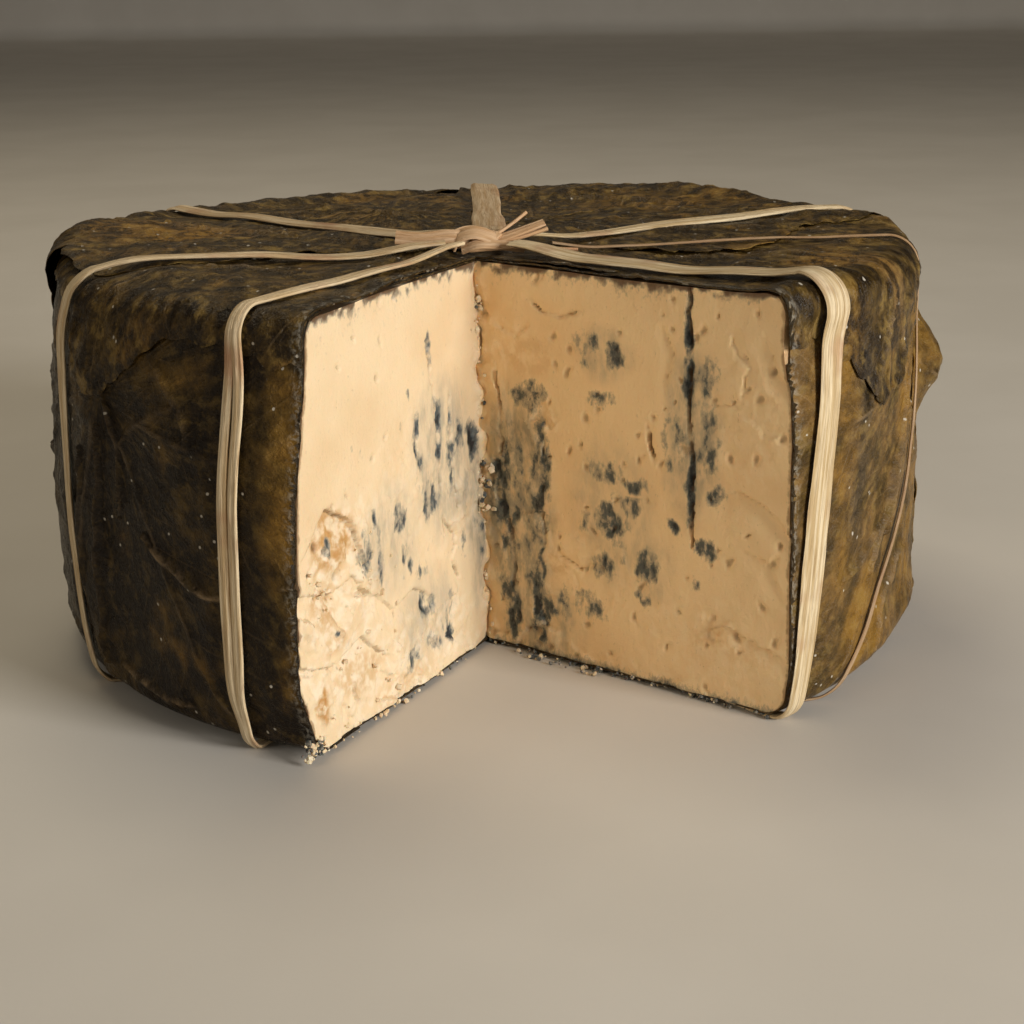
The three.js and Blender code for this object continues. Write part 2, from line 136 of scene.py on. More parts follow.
class Grains:
    """Seeded cells in a plane, each with its middle shaken out of line and a chance of its own."""

    PERIOD = 61

    def __init__(self, seed: int) -> None:
        """Draws the middles and the chances.

        Args:
            seed: the number that the draw starts from.
        """
        draw = np.random.default_rng(seed)
        self.middles = draw.random((self.PERIOD, self.PERIOD, 2))
        self.chances = draw.random((self.PERIOD, self.PERIOD, 3))

    def at(self, across: Array, up: Array, size: float) -> tuple[Array, Array, Array]:
        """The nearest cell: the least distance to a middle among the nine cells round each place.

        Args:
            across: first coordinates.
            up: second coordinates.
            size: the side of a cell.

        Returns:
            The offset from the nearest middle and the distance to it, in cell sides, and the cell's chances.
        """
        x, y = across / size, up / size
        column, row = np.floor(x).astype(int), np.floor(y).astype(int)
        nearest = np.full(x.shape, 9.0)
        offset = np.zeros((*x.shape, 2))
        chances = np.zeros((*x.shape, 3))
        for dx, dy in np.ndindex(3, 3):
            i, j = (column + dx - 1), (row + dy - 1)
            middle = self.middles[i % self.PERIOD, j % self.PERIOD]
            step = np.stack([x - i - middle[..., 0], y - j - middle[..., 1]], axis=-1)
            away = np.hypot(step[..., 0], step[..., 1])
            nearer = away < nearest
            nearest = np.where(nearer, away, nearest)
            offset = np.where(nearer[..., None], step, offset)
            chances = np.where(nearer[..., None], self.chances[i % self.PERIOD, j % self.PERIOD], chances)
        return offset, nearest, chances

    def chips(self, across: Array, up: Array, size: float) -> Array:
        """A broken surface of flat chips, each tilted and set at a height of its own, from about -1 to 1."""
        offset, _, chances = self.at(across, up, size)
        return (offset * (chances[..., :2] - 0.5) * 2.4).sum(axis=-1) + (chances[..., 2] - 0.5) * 1.2


@dataclass(frozen=True)
class Shell:
    """A closed surface: points in millimetres, four-sided faces, and the triangles round its two poles."""

    points: Array
    quads: Array
    fans: Array

    @staticmethod
    def from_rings(rings: Array, first: Array, last: Array) -> "Shell":
        """Joins rings of points, each closed on itself, one after the other, with a pole at each end.

        Args:
            rings: an array of rows, points in a row, and x, y and z.
            first: the pole that closes the first ring.
            last: the pole that closes the last ring.

        Returns:
            The closed surface, its points in the order first pole, rings, last pole.
        """
        rows, count = rings.shape[:2]
        points = np.vstack([first, rings.reshape(-1, 3), last])
        here = np.arange(count)
        after = (here + 1) % count
        row = 1 + np.arange(rows - 1)[:, None] * count
        quads = np.stack([row + here, row + count + here, row + count + after, row + after], axis=-1)
        end = 1 + (rows - 1) * count
        top = np.stack([np.zeros(count, int), 1 + here, 1 + after], axis=-1)
        bottom = np.stack([end + here, np.full(count, len(points) - 1), end + after], axis=-1)
        return Shell(points, quads.reshape(-1, 4), np.vstack([top, bottom]))

    def as_object(self, name: str, values: dict[str, Array] | None = None) -> Piece:
        """Makes the mesh object, smooth but for its sharp edges.

        Args:
            name: the object's name.
            values: named numbers or vectors, one for each point, for the materials to read.

        Returns:
            The object, linked to the scene.
        """
        mesh = bpy.data.meshes.new(name)
        mesh.from_pydata((self.points * MILLIMETRE).tolist(), [], self.quads.tolist() + self.fans.tolist())
        for key, value in (values or {}).items():
            write_values(mesh, key, value)
        finish_normals(mesh)
        return linked(name, mesh)


Part = tuple[Shell, dict[str, Array]]


def linked(name: str, data: bpy.types.ID) -> Piece:
    """Makes an object of its data and links it to the scene."""
    thing = bpy.data.objects.new(name, data)
    bpy.context.collection.objects.link(thing)
    return thing


def stand(thing: Piece, place: Array, *axes: Array) -> None:
    """Stands an object at a place in metres, by the directions of its own three axes."""
    turn = Matrix(np.column_stack(axes).tolist()).to_4x4()
    thing.matrix_world = Matrix.Translation(place) @ turn


def finish_normals(mesh: Mesh, sharp_above: float = 48) -> None:
    """Shades a mesh smooth, with edges kept sharp above an angle in degrees."""
    mesh.shade_smooth()
    mesh.set_sharp_from_angle(angle=radians(sharp_above))
    mesh.update()


def write_values(mesh: Mesh, name: str, values: Array) -> None:
    """Stores one number or one vector for each point of a mesh under a name."""
    kind, field_name = ("FLOAT_VECTOR", "vector") if values.ndim == 2 else ("FLOAT", "value")
    layer = mesh.attributes.get(name) or mesh.attributes.new(name, kind, "POINT")
    layer.data.foreach_set(field_name, np.ascontiguousarray(values, dtype=np.float32).ravel())


def read_values(mesh: Mesh, name: str, width: int) -> Array:
    """Reads the numbers, or vectors if the width is 3, that a mesh holds under a name."""
    values = np.empty(len(mesh.vertices) * width, dtype=np.float32)
    mesh.attributes[name].data.foreach_get("vector" if width == 3 else "value", values)
    return values.reshape(-1, width) if width == 3 else values


def points_of(mesh: Mesh) -> Array:
    """The points of a mesh in millimetres."""
    values = np.empty(len(mesh.vertices) * 3, dtype=np.float32)
    mesh.vertices.foreach_get("co", values)
    return values.reshape(-1, 3).astype(float) / MILLIMETRE


def carve(piece: Piece, cutter: Piece) -> None:
    """Takes the cutter's room out of a piece, and gives the new points along the cut their values.

    A new point has no values of its own, so it takes the mean of those of the points it is joined to, and
    this is done twice to reach the points that are joined to new ones alone.

    Args:
        piece: the closed object to cut. Its mesh is replaced.
        cutter: the closed object that is taken away.
    """
    write_values(piece.data, "known", np.ones(len(piece.data.vertices)))
    modifier = piece.modifiers.new("cut", "BOOLEAN")
    modifier.operation = "DIFFERENCE"
    modifier.solver = "MANIFOLD"
    modifier.object = cutter
    evaluated = piece.evaluated_get(bpy.context.evaluated_depsgraph_get())
    carved = bpy.data.meshes.new_from_object(evaluated)
    piece.modifiers.clear()
    whole = piece.data
    piece.data = carved
    carved.name = piece.name
    bpy.data.meshes.remove(whole)
    edges = np.empty(len(carved.edges) * 2, dtype=np.int32)
    carved.edges.foreach_get("vertices", edges)
    one, other = edges.reshape(-1, 2).T
    known = read_values(carved, "known", 1)
    layers = [a.name for a in carved.attributes if (a.domain, a.data_type) == ("POINT", "FLOAT_VECTOR")]
    layers.remove("position")
    for _ in range(2):
        missing = known < 0.5
        for layer in layers:
            values = read_values(carved, layer, 3)
            total = np.zeros_like(values)
            weight = np.zeros(len(values))
            for a, b in ((one, other), (other, one)):
                np.add.at(total, a, values[b] * known[b][:, None])
                np.add.at(weight, a, known[b])
            reached = missing & (weight > 0)
            values[reached] = total[reached] / weight[reached][:, None]
            write_values(carved, layer, values)
            known = np.where(reached, 1.0, known)
    finish_normals(carved)


@dataclass(frozen=True)
class Wheel:
    """The wheel's smooth outside before any lumps: flat top, rounded rim, upright side and flat base."""

    radius: float = 92
    top: float = 85
    top_rounding: float = 5
    base_rounding: float = 4.5
    wrap_base: float = 0.9
    top_fall: float = 1.6
    slump: tuple[float, float] = (-152, 36)
    slump_depth: float = 4
    slump_spread: float = 10
    corner: tuple[float, float] = (-47, 27)
    corner_height: float = 1.5
    corner_spread: float = 3.4
    bulges: tuple[tuple[float, float, float, float, float], ...] = (
        (-110, 34, 4.5, 35, 12), (-50, 24, 2, 20, 12), (-170, 40, 1.8, 50, 4), (0, 50, 1.8, 50, 4))

    @property
    def top_end(self) -> float:
        """Length along the profile at which the flat top ends."""
        return self.radius - self.top_rounding

    @property
    def side_start(self) -> float:
        """Length at which the side starts."""
        return self.top_end + self.top_rounding * pi / 2

    @property
    def side_end(self) -> float:
        """Length at which the side ends."""
        return self.side_start + self.top - self.top_rounding - self.wrap_base - self.base_rounding

    @property
    def base_start(self) -> float:
        """Length at which the flat base starts."""
        return self.side_end + self.base_rounding * pi / 2

    @property
    def profile_end(self) -> float:
        """Length at the middle of the base."""
        return self.base_start + self.radius - self.base_rounding

    def length_at_height(self, z: float) -> float:
        """Length along the profile at a height on the side."""
        return self.side_start + self.top - self.top_rounding - z

    def profile(self, s: Array) -> tuple[Array, Array, Array, Array]:
        """The profile: a level line, a quarter circle, an upright line, a quarter circle and a level line.

        Args:
            s: lengths along it.

        Returns:
            Radius, height, and the outward normal's part outwards and part upwards.
        """
        high = (s - self.top_end) / self.top_rounding
        low = (s - self.side_end) / self.base_rounding
        spans = [s <= self.top_end, s <= self.side_start, s <= self.side_end, s <= self.base_start]
        inner, foot = self.radius - self.base_rounding, self.wrap_base + self.base_rounding
        side = self.top - self.top_rounding - (s - self.side_start)
        rim = self.top_end + self.top_rounding * np.sin(high)
        curl = inner + self.base_rounding * np.cos(low)
        radius = np.select(spans, [s, rim, self.radius, curl], self.profile_end - s)
        rim_height = self.top - self.top_rounding * (1 - np.cos(high))
        heights = [self.top, rim_height, side, foot - self.base_rounding * np.sin(low)]
        z = np.select(spans, heights, self.wrap_base)
        out = np.select(spans, [0, np.sin(high), 1, np.cos(low)], 0)
        up = np.select(spans, [1, np.cos(high), 0, -np.sin(low)], -1)
        return radius, z, out, up

    def point(self, theta: Array, s: Array, height: Array) -> Array:
        """Places on the wheel at a bearing, a length along the profile and a height above it."""
        radius, z, out, up = self.profile(s)
        r = radius + out * height
        return np.stack([r * np.cos(theta), r * np.sin(theta), z + up * height], axis=-1)

    def normal(self, theta: Array, s: Array) -> Array:
        """The outward normal of the smooth profile."""
        _, _, out, up = self.profile(s)
        return np.stack([out * np.cos(theta), out * np.sin(theta), up], axis=-1)

    @staticmethod
    def near(theta: Array, bearing: float, reach: float) -> Array:
        """1 at a bearing, falling to 0 at its reach on either side, both in degrees."""
        return 1 - smooth(np.abs(turn_between(theta, radians(bearing))) / radians(reach))

    def bulge(self, theta: Array, s: Array) -> Array:
        """How far the side bulges. A bulge is a bearing, reach, height, drop from the rim and foot."""
        total = 0 * theta
        for bearing, reach, height, drop, foot in self.bulges:
            below = smooth((s - self.side_start) / drop)
            above = 1 - smooth((s - self.side_end + foot) / (foot + 4))
            total = total + height * self.near(theta, bearing, reach) * below * above
        return total

    def slumped(self, theta: Array, s: Array) -> Array:
        """How far the rim has slumped: a bell round one bearing, less the squarer corner's bell."""
        from_rim = s - (self.top_end + self.side_start) / 2
        low = np.exp(-((from_rim / self.slump_spread) ** 2))
        square = np.exp(-((from_rim / self.corner_spread) ** 2))
        low = self.slump_depth * self.near(theta, *self.slump) * low
        return low - self.corner_height * self.near(theta, *self.corner) * square

    def lumps(self, theta: Array, s: Array) -> Array:
        """Slow lumps: sines round the wheel and along its profile, which fade out at the base."""
        around = 0.5 * np.sin(2 * theta + 0.7) + 0.35 * np.sin(5 * theta + 1.9)
        along = np.sin(3 * theta + s / 23) + 0.7 * np.sin(7 * theta - s / 15)
        on_top = smooth(s / self.top_end)
        fall = self.top_fall * np.maximum(0, np.sin(theta)) * np.minimum(1, s / self.top_end)
        fall = fall * (1 - smooth((s - self.top_end) / 30)) + self.slumped(theta, s)
        lumps = ((around + 0.4 * along) * on_top - fall) * (1 - smooth((s - self.side_end + 12) / 12))
        return lumps + self.bulge(theta, s)


WHEEL = Wheel()


@dataclass(frozen=True)
class Spot:
    """A place on a cut face: its distance from the inner edge, height, two half-widths and strength."""

    along: float
    z: float
    wide: float
    tall: float
    strength: float = 1.0

    def weigh(self, along: Array, z: Array, core: float = 0.45) -> Array:
        """An ellipse that is full inside its core and fades to nothing at its edge."""
        away = np.hypot((along - self.along) / self.wide, (z - self.z) / self.tall)
        return self.strength * (1 - smooth((away - core) / (1 - core)))


def spots(*rows: tuple[float, ...]) -> tuple[Spot, ...]:
    """Spots from rows of numbers: along, z, the half-width along, the half-width up, and the strength."""
    return tuple(Spot(*row) for row in rows)


@dataclass(frozen=True)
class Tear:
    """A crack in a cut face: places (along, z) on it, its width, depth, and step down on its left."""

    line: tuple[tuple[float, float], ...]
    width: float
    depth: float
    step: float = 0.0
    fade: float = 4.0

    def distance(self, along: Array, z: Array) -> tuple[Array, Array]:
        """Distance to the nearest stretch of the line, and 1 on the left of it or -1 on its right."""
        nearest = np.full(along.shape, 1e3)
        side = np.ones(along.shape)
        for (a0, z0), (a1, z1) in zip(self.line, self.line[1:]):
            da, dz = a1 - a0, z1 - z0
            share = np.clip(((along - a0) * da + (z - z0) * dz) / (da * da + dz * dz), 0, 1)
            away = np.hypot(along - a0 - share * da, z - z0 - share * dz)
            turn = np.sign(da * (z - z0) - dz * (along - a0))
            side = np.where(away < nearest, turn, side)
            nearest = np.minimum(nearest, away)
        return nearest, side


@dataclass(frozen=True)
class CutFace:
    """One face of the cut: its bearing from the inner edge, and all that shows on it."""

    bearing: float
    inward: int
    crumbly: tuple[Spot, ...]
    mould: tuple[Spot, ...]
    smears: tuple[Spot, ...]
    ochre: tuple[Spot, ...]
    pits: tuple[Spot, ...]
    tears: tuple[Tear, ...]
    seed: int
    foot_mould: float = 1.0
    flawed: float = 0.32
    dense: float = 0.68

    @property
    def out(self) -> Array:
        """Unit vector from the inner edge out along the face."""
        return along_bearing(self.bearing)

    @property
    def free(self) -> Array:
        """Unit vector square to the face, from the paste into the cut."""
        out = self.out
        return np.array([-out[1], out[0]]) * self.inward

    @staticmethod
    def total(spots: tuple[Spot, ...], along: Array, z: Array, core: float = 0.45) -> Array:
        """The strongest of several spots at each place."""
        result = 0 * along
        for spot in spots:
            result = np.maximum(result, spot.weigh(along, z, core))
        return result

    def space(self, along: Array, z: Array, layer: float) -> Array:
        """Places on the face as points of space, for noise. Each layer is a sheet of its own."""
        return at_level(along, z, self.seed * 0.31 + layer)

    def wander(self, along: Array, z: Array) -> tuple[Array, Array]:
        """Places pushed about by noise, so that what is laid out plainly gets uneven edges."""
        lumps = Lumps(self.seed)
        push = 1.2 * lumps.layered(self.space(along, z, 0), 6)
        return along + push, z + 1.5 * lumps.layered(self.space(along, z, 40), 7)

    def mould_at(self, along: Array, z: Array) -> Array:
        """How thick the blue mould stands: over about 0.45 it shows blue, over about 0.7 black.

        It is dense times the spots' strength, plus noise in grains of 1.6 mm and less, drawn out along z.
        """
        wandered = self.wander(along, z)
        place = self.total(self.mould, *wandered, core=0.25)
        pits = self.total(self.pits, *wandered)
        grain = Lumps(self.seed + 1).layered(self.space(along, z / 2.1, 11), 1.6, 3)
        return np.maximum(self.dense * place, 0.85 * pits) + 0.5 * grain * smooth(place * 3 + pits * 4 + 0.06)

    def tears_at(self, along: Array, z: Array) -> tuple[Array, Array]:
        """How deep the tears, with gaps in them, and the small flaws go, and how far the face steps down."""
        a, b = self.wander(along, z)
        gaps = smooth(0.9 + 1.6 * Lumps(self.seed + 5).at(self.space(along, z, 23), 3.1))
        jag = 0.35 * Lumps(self.seed + 6).layered(self.space(along, z, 29), 1.3, 2)
        deep, step = 0 * along, 0 * along
        for tear in self.tears:
            away, side = tear.distance(along + 0.4 * (a - along) + jag, z + 0.4 * (b - z))
            deep = np.maximum(deep, tear.depth * gaps * (1 - smooth((away / tear.width - 0.15) / 0.85)))
            step = np.maximum(step, tear.step * (side > 0) * (1 - smooth(away / tear.fade)))
        _, away, chances = Grains(self.seed + 20).at(a + jag, 0.8 * (b + jag), 4.2)
        flaws = (chances[..., 0] < self.flawed) * (1 - smooth((away - 0.05) / (0.06 + 0.2 * chances[..., 1])))
        return np.maximum(deep, 0.6 * flaws), step

    def crumbliness(self, along: Array, z: Array) -> Array:
        """How short the paste is at each place, from 0, smooth under the knife, to 1, crumbling."""
        edge = 1 - smooth((along - 1.0) / 3.5)
        foot = 0.6 * (1 - smooth((z - 2) / 5))
        return np.maximum(np.maximum(self.total(self.crumbly, *self.wander(along, z)), 0.8 * edge), foot)

    def relief(self, along: Array, z: Array) -> Array:
        """Height of the face over its plane: waviness and chips, less mould holes and tears."""
        wavy = 0.2 * Lumps(self.seed + 7).layered(self.space(along, z, 31), 17)
        short = self.crumbliness(along, z)
        a, b = self.wander(along, z)
        broken = 0 * along
        for size, height, seed in ((7.5, 0.75, 11), (3.6, 0.38, 12), (1.7, 0.16, 13)):
            broken += height * Grains(self.seed + seed).chips(a, b, size)
        short = short * smooth(0.75 + 0.9 * Lumps(self.seed + 9).at(self.space(along, z, 71), 8))
        fine = Lumps(self.seed + 8).layered(self.space(along, z, 61), 2.2, 2)
        deep, step = self.tears_at(along, z)
        holes = smooth((self.mould_at(along, z) - 0.5) / 0.45)
        return wavy + short * (broken + 0.12 * fine) + 0.045 * fine - 0.4 * holes - deep - step


@dataclass(frozen=True)
class Cut:
    """The wedge that was taken out: its inner edge, which leans a little, and its two faces."""

    edge_base: tuple[float, float]
    edge_top: tuple[float, float]
    left: CutFace
    right: CutFace
    reach: float = 130
    fine_reach: float = 79
    step: float = 0.45

    def edge(self, z: Array) -> Array:
        """The inner edge at given heights: a straight line from its foot to its head."""
        share = (np.asarray(z) / WHEEL.top)[..., None]
        return np.array(self.edge_base) * (1 - share) + np.array(self.edge_top) * share

    def cutter(self, name: str, alongs: Array, levels: Array, rough: float) -> Piece:
        """The wedge as a closed object, from the top level down, each level being one ring.

        A ring runs from the inner edge out along the left face and back along the right face. Each point
        stands off its face by the face's relief, and the inner edge wanders in and out by noise.

        Args:
            name: the object's name.
            alongs: distances from the inner edge.
            levels: heights, from low to high.
            rough: share of the relief that is kept.

        Returns:
            The cutter.
        """
        z = levels[::-1][:, None]
        along = alongs[None, :]
        flat_along, flat_z = np.broadcast_arrays(along, z)
        edge = self.edge(z[:, 0])
        column = np.stack([0 * z[:, 0], 0 * z[:, 0], z[:, 0]], axis=-1)
        wobble = rough * 1.3 * np.stack([Lumps(5).layered(column, 5), Lumps(6).layered(column, 4)], axis=-1)
        rows = [np.concatenate([edge + wobble, z], axis=-1)[:, None, :]]
        for face, order in ((self.left, 1), (self.right, -1)):
            height = rough * face.relief(flat_along, flat_z) * smooth(flat_along / 1.2)
            near = np.exp(-flat_along / 2.5)[..., None]
            flat = edge[:, None, :] + flat_along[..., None] * face.out + height[..., None] * face.free
            flat = flat + near * wobble[:, None, :]
            rows.append(np.concatenate([flat, flat_z[..., None]], axis=-1)[:, ::order])
        rings = np.concatenate(rows, axis=1)
        return Shell.from_rings(rings, rings[0].mean(axis=0), rings[-1].mean(axis=0)).as_object(name)

    def fine_cutter(self) -> Piece:
        """The wedge with all the relief of its faces, for the paste."""
        count = round(self.fine_reach / self.step)
        alongs = np.append(np.linspace(self.step, self.fine_reach, count), self.reach)
        levels = np.concatenate([[-4], np.linspace(-0.6, 86, round(87 / self.step)), [100]])
        return self.cutter("fine_wedge", alongs, levels, 1.0)

    def plain_cutter(self) -> Piece:
        """The wedge with gently ragged faces, for the leaves, which stand a little proud of the paste."""
        alongs = np.append(np.linspace(1.5, self.fine_reach + 20, 70), self.reach)
        levels = np.concatenate([[-6], np.linspace(-2, 92, 60), [110]])
        return self.cutter("plain_wedge", alongs, levels, 0.35)

    def depth_inside(self, points: Array) -> Array:
        """How far points lie from the nearer face's plane, on the paste's side of it."""
        edge = self.edge(points[:, 2])
        return np.maximum(*[(points[:, :2] - edge) @ -face.free for face in (self.left, self.right)])


LEFT_FACE = CutFace(
    bearing=-117.5,
    inward=1,
    seed=101,
    foot_mould=0.25,
    flawed=0.1,
    dense=0.56,
    crumbly=spots(
        (58, 24, 22, 27, 1.0), (34, 8, 36, 15, 0.9), (50, 42, 14, 10, 0.7), (8, 33, 9, 12, 0.75),
        (30, 40, 22, 26, 0.3),
    ),
    mould=spots(
        (20.5, 70, 1.5, 5, 0.55), (28.5, 62.4, 1.6, 1.8, 0.6), (33, 57.5, 1.3, 1.6, 0.5),
        (26.5, 51, 2.4, 12, 0.62), (18.2, 54, 2.0, 13, 0.85), (13.5, 48, 2.2, 13, 0.75),
        (11, 50, 4, 4.5, 0.8), (4.5, 47, 4, 7, 1.0), (22, 40, 5, 8, 0.55), (34, 39.5, 3.6, 6, 0.8),
        (44, 40.5, 4.2, 5.5, 0.62), (46, 37, 8, 6, 0.3), (42, 31, 3, 8, 0.34), (32, 31, 2.6, 7, 0.72),
        (29, 27, 8, 4, 0.3), (26.5, 17.5, 5.2, 4.2, 1.0), (17.2, 10.5, 2.6, 8, 1.0),
        (33, 7.5, 4.5, 3.8, 0.5), (22, 9, 8, 5, 0.3), (55, 18.5, 3, 2.6, 0.35), (48.5, 56, 2.4, 2.2, 0.4),
        (9, 24, 2.2, 7, 0.5), (3.4, 28, 3, 13, 0.6),
    ),
    smears=spots(
        (17, 48, 15, 22, 0.7), (8, 42, 8, 14, 0.8), (38, 36, 13, 15, 0.5), (26, 15, 14, 13, 0.5),
        (4, 30, 5, 26, 0.75),
    ),
    ochre=spots(
        (58, 41, 9, 8, 0.9), (52, 38, 4, 3, 0.6), (62, 30, 5, 6, 0.6), (64.5, 11, 2.6, 6, 1.0),
        (52, 12, 12, 5, 0.45), (36, 4, 14, 3.4, 0.3), (60, 22, 6, 4, 0.4),
    ),
    pits=spots(
        (59.3, 40, 1.4, 2.8, 0.9), (60, 25, 1.2, 1.2, 0.6), (26, 17, 1.8, 1.6, 1.0), (17, 9, 1.0, 3.4, 0.9),
    ),
    tears=(
        Tear(((21, 72), (20.4, 66), (19, 58), (18.4, 48), (17.4, 38), (17, 31)), 0.42, 0.7),
        Tear(((27, 61), (26.6, 52), (25, 44)), 0.36, 0.5),
        Tear(((13, 60), (13.4, 50), (12, 37)), 0.36, 0.6),
        Tear(((16, 33), (12, 29), (14, 24), (12, 19)), 0.48, 0.6, 0.5),
        Tear(((65, 44), (60, 48), (52, 44), (49, 37)), 0.54, 0.5, 1.1, 7),
        Tear(((68, 34), (59, 31), (52, 33), (47, 27)), 0.48, 0.4, 1.0, 6),
        Tear(((46, 27), (38, 21), (30, 23), (25, 20)), 0.48, 0.4, 0.7, 6),
        Tear(((70, 20), (60, 17), (50, 19), (44, 14)), 0.48, 0.4, 0.9, 7),
    ),
)

RIGHT_FACE = CutFace(
    bearing=-37.4,
    inward=-1,
    seed=202,
    crumbly=spots(
        (3, 40, 5, 44, 0.6), (16, 54, 5, 6, 0.75), (12, 34, 9, 30, 0.5), (13, 10, 10, 13, 0.7),
        (8, 70, 9, 8, 0.5), (64, 58, 12, 24, 0.3), (56, 12, 22, 13, 0.4), (30, 24, 14, 14, 0.3),
    ),
    mould=spots(
        (12, 57.5, 6, 5, 1.0), (15.8, 44, 3.4, 15, 0.95), (13, 31, 4, 13, 0.75), (5.5, 38, 4.4, 22, 0.85),
        (9.5, 30, 9, 25, 0.55), (14, 13, 3.2, 14, 1.0), (7, 10, 5, 9, 0.8), (20, 13, 7, 7, 0.42),
        (51.4, 70, 1.7, 20, 1.0), (51.9, 46, 1.8, 18, 1.0), (54.5, 64, 4.4, 11, 0.55),
        (47.6, 54, 4.4, 8, 0.58), (55.6, 53, 4.6, 6, 0.9), (57.3, 44.4, 2.5, 3.2, 1.0),
        (55.6, 33.4, 4.2, 3.8, 0.9), (48.1, 35.8, 1.9, 2.4, 1.0), (52.5, 25, 2.2, 3, 0.4),
        (28, 70, 5.5, 5, 0.55), (34.4, 69.6, 4.8, 3.8, 0.95), (31, 60, 4, 3.6, 0.7),
        (31.6, 45, 5.4, 3.6, 0.85), (38.6, 44, 4.4, 2.8, 0.8), (37, 39, 4.4, 3.4, 0.6),
        (32.5, 34.6, 6.4, 4.6, 0.66), (26, 34, 4, 4, 0.5), (34.8, 29, 4, 3.4, 0.55),
        (30.5, 24.5, 5.2, 4.8, 0.78), (42.4, 27, 4.4, 6, 0.85), (41.5, 19, 3, 3, 0.62), (27, 15, 7, 4, 0.4),
    ),
    smears=spots(
        (9, 32, 12, 34, 1.0), (52, 56, 8, 22, 0.75), (33, 36, 13, 21, 0.42), (32, 70, 9, 7, 0.5),
        (14, 9, 15, 12, 0.7), (43, 26, 7, 9, 0.4),
    ),
    ochre=spots(
        (18.5, 22, 4, 4, 0.5), (17, 54, 4, 4, 0.3), (13, 66, 9, 6, 0.25), (60, 14, 12, 5, 0.2),
    ),
    pits=spots(
        (12.9, 12, 1.2, 4.4, 1.0), (5.6, 8, 1.4, 2.2, 1.0), (15.8, 22, 0.9, 5, 0.8), (6, 46, 0.9, 5, 0.7),
        (48.1, 35.8, 1.0, 1.2, 1.0), (35.4, 70.2, 0.8, 2.4, 0.9), (57.4, 44.6, 1.2, 1.8, 0.9),
        (39, 44.6, 1.6, 0.8, 0.8), (13.4, 58, 2.6, 1.0, 0.9),
    ),
    tears=(
        Tear(((51.2, 86), (51.6, 70), (51.3, 58), (52, 46), (52, 33)), 0.54, 0.9),
        Tear(((14, 77.5), (17, 75.8), (21, 75.4), (25, 77)), 0.48, 0.8, 0.35, 3),
        Tear(((41.2, 55.5), (42.6, 50)), 0.54, 1.0, 0.5, 2),
        Tear(((60, 76), (61.5, 73), (64, 71), (63, 65)), 0.36, 0.3, 0.4, 3),
        Tear(((57, 62), (62.5, 62.6)), 0.35, 0.3, 0.3, 3),
        Tear(((74, 38), (71, 42), (67, 45), (62, 46.5), (59, 45)), 0.42, 0.3, 0.6, 6),
        Tear(((75, 67), (71, 70), (69, 74)), 0.36, 0.25, 0.5, 5),
        Tear(((46.5, 66), (47.5, 71), (46, 75)), 0.35, 0.35, 0.3, 3),
        Tear(((6, 72), (10, 70.5), (12, 72)), 0.42, 0.4, 0.3, 3),
        Tear(((72, 28), (69, 33), (66, 34)), 0.36, 0.3, 0.4, 4),
        Tear(((75, 12), (69, 15), (61, 17.5), (56, 16)), 0.42, 0.3, 0.5, 5),
        Tear(((16.2, 56), (16.6, 46), (15.4, 34), (15.8, 22)), 0.42, 0.7),
        Tear(((20, 24), (25, 22), (29, 24)), 0.36, 0.4, 0.5, 3),
        Tear(((4.2, 62), (5.4, 54), (4.6, 45)), 0.5, 0.8),
        Tear(((7, 30), (8.2, 22), (7.4, 15)), 0.5, 0.8),
    ),
)

CUT = Cut(edge_base=(0, -26.8), edge_top=(-1.4, -30.6), left=LEFT_FACE, right=RIGHT_FACE)


class Laid(Enum):
    """How a leaf is laid on the wheel."""

    TOP = "top"
    SIDE = "side"
    BASE = "base"


@dataclass(frozen=True)
class Crease:
    """A fold that shows through the wrap: two ends, on the side as (bearing, z) or on the top as (x, y)."""

    start: tuple[float, float]
    end: tuple[float, float]
    width: float
    height: float
    # pale: how much paler the fold is painted, partly its own colour and partly a painted highlight on its
    # ridge.
    pale: float
    bend: float = 1.5
    on_top: bool = False

    def weigh(self, theta: Array, s: Array) -> Array:
        """A ridge along the line between the ends, with a bow in it: 1 on the line, 0 at its width."""
        if self.on_top:
            u, v = s * np.cos(theta), s * np.sin(theta)
            ends = [np.array(self.start), np.array(self.end)]
            near = s < WHEEL.side_start
        else:
            centre = radians(self.start[0])
            u, v = turn_between(theta, centre) * WHEEL.radius, s
            across = radians(self.end[0] - self.start[0]) * WHEEL.radius
            ends = [np.array([0, WHEEL.length_at_height(self.start[1])])]
            ends.append(np.array([across, WHEEL.length_at_height(self.end[1])]))
            near = s > WHEEL.top_end - 6
        step = ends[1] - ends[0]
        length = np.hypot(*step)
        along = ((u - ends[0][0]) * step[0] + (v - ends[0][1]) * step[1]) / length
        aside = ((v - ends[0][1]) * step[0] - (u - ends[0][0]) * step[1]) / length
        share = np.clip(along / length, 0, 1)
        aside = aside - self.bend * np.sin(pi * share) - 0.35 * np.sin(along / 2.3)
        past = np.maximum(np.maximum(-along, along - length), 0)
        ends_thin = 0.35 + 0.65 * np.sin(pi * np.clip(share, 0.04, 0.96))
        return near * (1 - smooth(np.hypot(aside, past) / (self.width * ends_thin)))


